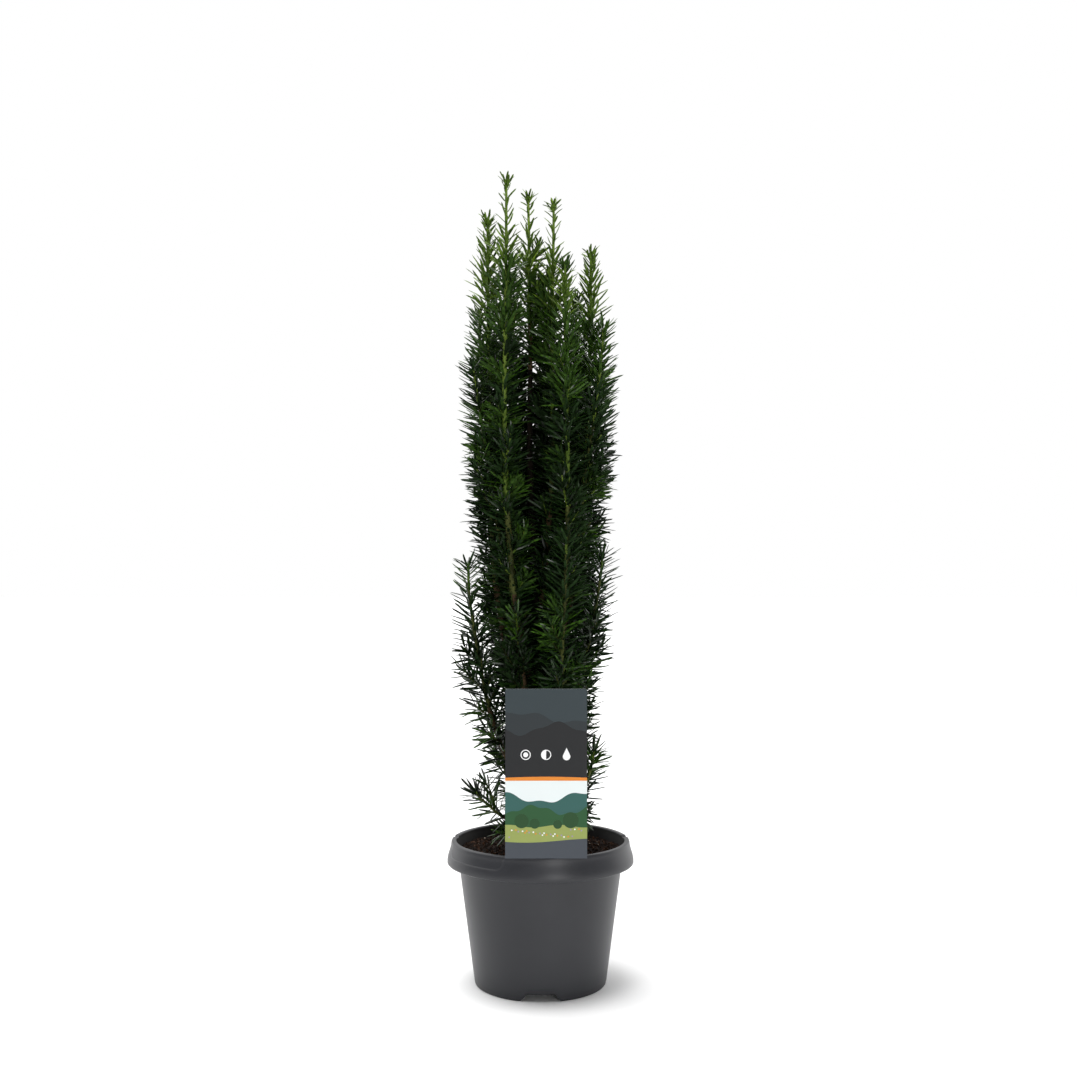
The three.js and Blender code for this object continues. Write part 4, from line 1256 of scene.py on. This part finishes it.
def roots_mesh(name, chosen):
    """A mesh of bare points at the needles' roots, which carries the values of each."""
    mesh = bpy.data.meshes.new(name)
    mesh.vertices.add(len(chosen))
    mesh.vertices.foreach_set("co", (roots[chosen] * MM).ravel())
    turns = []
    for k in chosen:
        along = Vector(needles[k].out).normalized()
        across = along.cross(Vector(needles[k].up)).normalized()
        normal = across.cross(along)
        roll = Matrix.Rotation(NEEDLE_ROLL * (needles[k].pick - 0.5), 3, along)
        turns.extend((roll @ Matrix((across, along, normal)).transposed()).to_quaternion())
    own = {
        "turn": turns,
        "stretch": fitted[chosen] / NEEDLE_LENGTH,
        "width": [needles[k].width for k in chosen],
        "bend": [int(needles[k].pick * 997) % len(NEEDLE_BENDS) for k in chosen],
    }
    for value, kind in NEEDLE_VALUES.items():
        mesh.attributes.new(value, kind, "POINT").data.foreach_set("value", own[value])
    return mesh


# A needle is a waxed leaf: green flesh under a smooth cuticle that gives a wet-looking gloss above,
# and a dull underside. Four tiers of it by each needle's age, from old needles deep in the crown
# out to this year's tips: up to which age, its colours above and those below. The darkest tier,
# 'shaded', is painted shade: a darker copy of the old needles' colours, for needles far below the
# tips and on the low shoots. The colours below are painted shade too: darker than those above,
# where a real yew's undersides are paler.
NEEDLE_AGES = {
    "shaded": (0.08, ("#060d05", "#14260b"), ("#0a1407", "#16240e")),
    "dark": (0.24, ("#0b1908", "#223c14"), ("#12200d", "#23361b")),
    "green": (0.55, ("#162d08", "#406418"), ("#1b2e0e", "#364f1d")),
    "fresh": (2, ("#344d0d", "#7a982d"), ("#293b13", "#536b26")),
}
MOST_IN_A_PIECE = 8500  # needles, of 22 triangles each
SPRAY_SIZE = 22  # needles of one stem in the same cube of this size are shifted in age together
SPRAY_SPREAD = 0.3  # how far whole sprays differ in age
ages = np.array([needle.age for needle in needles])
spray_draw = seeded(999)
spray_shift = {}
for k, needle in enumerate(needles):
    spray = (needle.owner, *(needle.root // SPRAY_SIZE))
    if spray not in spray_shift:
        spray_shift[spray] = SPRAY_SPREAD * (spray_draw() - 0.4)
    ages[k] = max(ages[k] + spray_shift[spray], 0)

youngest = 0.0
for name, (oldest, upper, lower) in NEEDLE_AGES.items():
    glossy = finish(f"waxed {name} needle", upper, patch=4, grain=1.1, grain_height=0.03,
                    roughness=0.3, specular=0.32)
    # Painted shade: each underside takes colours darker than its upper side's.
    dull = finish(f"{name} needle underside", lower, patch=4, grain=1.1, grain_height=0.03,
                  roughness=0.6, specular=0.06)
    chosen = np.flatnonzero((fitted > 0) & (ages >= youngest) & (ages < oldest))
    youngest = oldest
    parts = math.ceil(len(chosen) / MOST_IN_A_PIECE)
    for number, some in enumerate(np.array_split(chosen, parts), 1):
        piece_name = f"needles_{name}_{number}"
        piece = grow_on(piece_name, roots_mesh(piece_name, some), needles_tree, needles_ids, {
            "Needles": needle_shapes, "Upper side": glossy, "Underside": dull})
        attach(piece, "root")
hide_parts(*[f"foliage_{name}" for name in stems])
for shape in list(needle_shapes.objects):
    bpy.data.objects.remove(shape)
bpy.data.collections.remove(needle_shapes)

# ---- Floor, light and camera ---------------------------------------------------------------------
# A white studio: a pale floor and surround, a broad soft key from nearly overhead with a low fill
# from in front, and the camera level with the middle of the plant, looking slightly up.

FLOOR_SIZE = 60
floor_mesh = bmesh.new()
bmesh.ops.create_grid(floor_mesh, x_segments=1, y_segments=1, size=FLOOR_SIZE / 2 / MM)
floor = piece_of(floor_mesh, "floor")
floor.data.materials.append(finish(
    "white studio floor", ("#f6f6f6", "#f8f8f8"), patch=900, grain=30, grain_height=0.001,
    roughness=0.9,
))

# How bright the surround shines by its heading's Y: dim in front, so that the front keeps its
# shadows, and brightest above and beside the backdrop. To the eye it is plain white all round.
SURROUND = ((0.1, 0.3), (0.45, 2), (0.74, 2), (0.83, 1))
world = bpy.data.worlds.new("white studio")
world.use_nodes = True
studio = world.node_tree
heading = add_node(studio, "ShaderNodeTexCoord").outputs["Generated"]
heading = add_node(studio, "ShaderNodeSeparateXYZ", inputs={0: heading})
glow = add_node(studio, "ShaderNodeValToRGB", inputs={"Fac": heading.outputs["Y"]}).color_ramp
while len(glow.elements) < len(SURROUND):
    glow.elements.new(0.5)
for element, (place, brightness) in zip(glow.elements, SURROUND):
    element.position = place
    element.color = (brightness, brightness, brightness, 1)
seen = add_node(studio, "ShaderNodeMix", inputs={
    "Factor": add_node(studio, "ShaderNodeLightPath").outputs["Is Camera Ray"],
    "A": studio.nodes["Color Ramp"], "B": 1.0})
studio.links.new(seen.outputs[0], studio.nodes["Background"].inputs["Strength"])
studio.nodes["Background"].inputs["Color"].default_value = linear("#ffffff")
bpy.context.scene.world = world
bpy.context.scene.view_settings.view_transform = "Standard"


def aim(thing, way):
    """Turns a light or a camera to face a way."""
    thing.rotation_euler = way.to_track_quat("-Z", "Y").to_euler()


# Each light: its strength, its width in degrees, and the way that it shines.
SUNS = {
    "overhead key": (2.6, 32, (0.14, 0.06, -0.99)),
    "front fill": (0.8, 14, (-0.306, 0.942, -0.139)),
}
for name, (energy, width, way) in SUNS.items():
    sun = bpy.data.lights.new(name, "SUN")
    sun.energy = energy
    sun.angle = math.radians(width)
    aim(new_object(name, sun), Vector(way))

CAMERA_PLACE = Vector((-0.0019, -1.2, 0.385))
CAMERA_TARGET = Vector((-0.0019, 0, 0.427))
LENS = 40.785
SENSOR = 36  # along the picture's long side
camera = new_object("camera", bpy.data.cameras.new("camera"))
camera.data.lens = LENS
camera.data.sensor_width = SENSOR
camera.location = CAMERA_PLACE
aim(camera, CAMERA_TARGET - CAMERA_PLACE)
bpy.context.scene.camera = camera
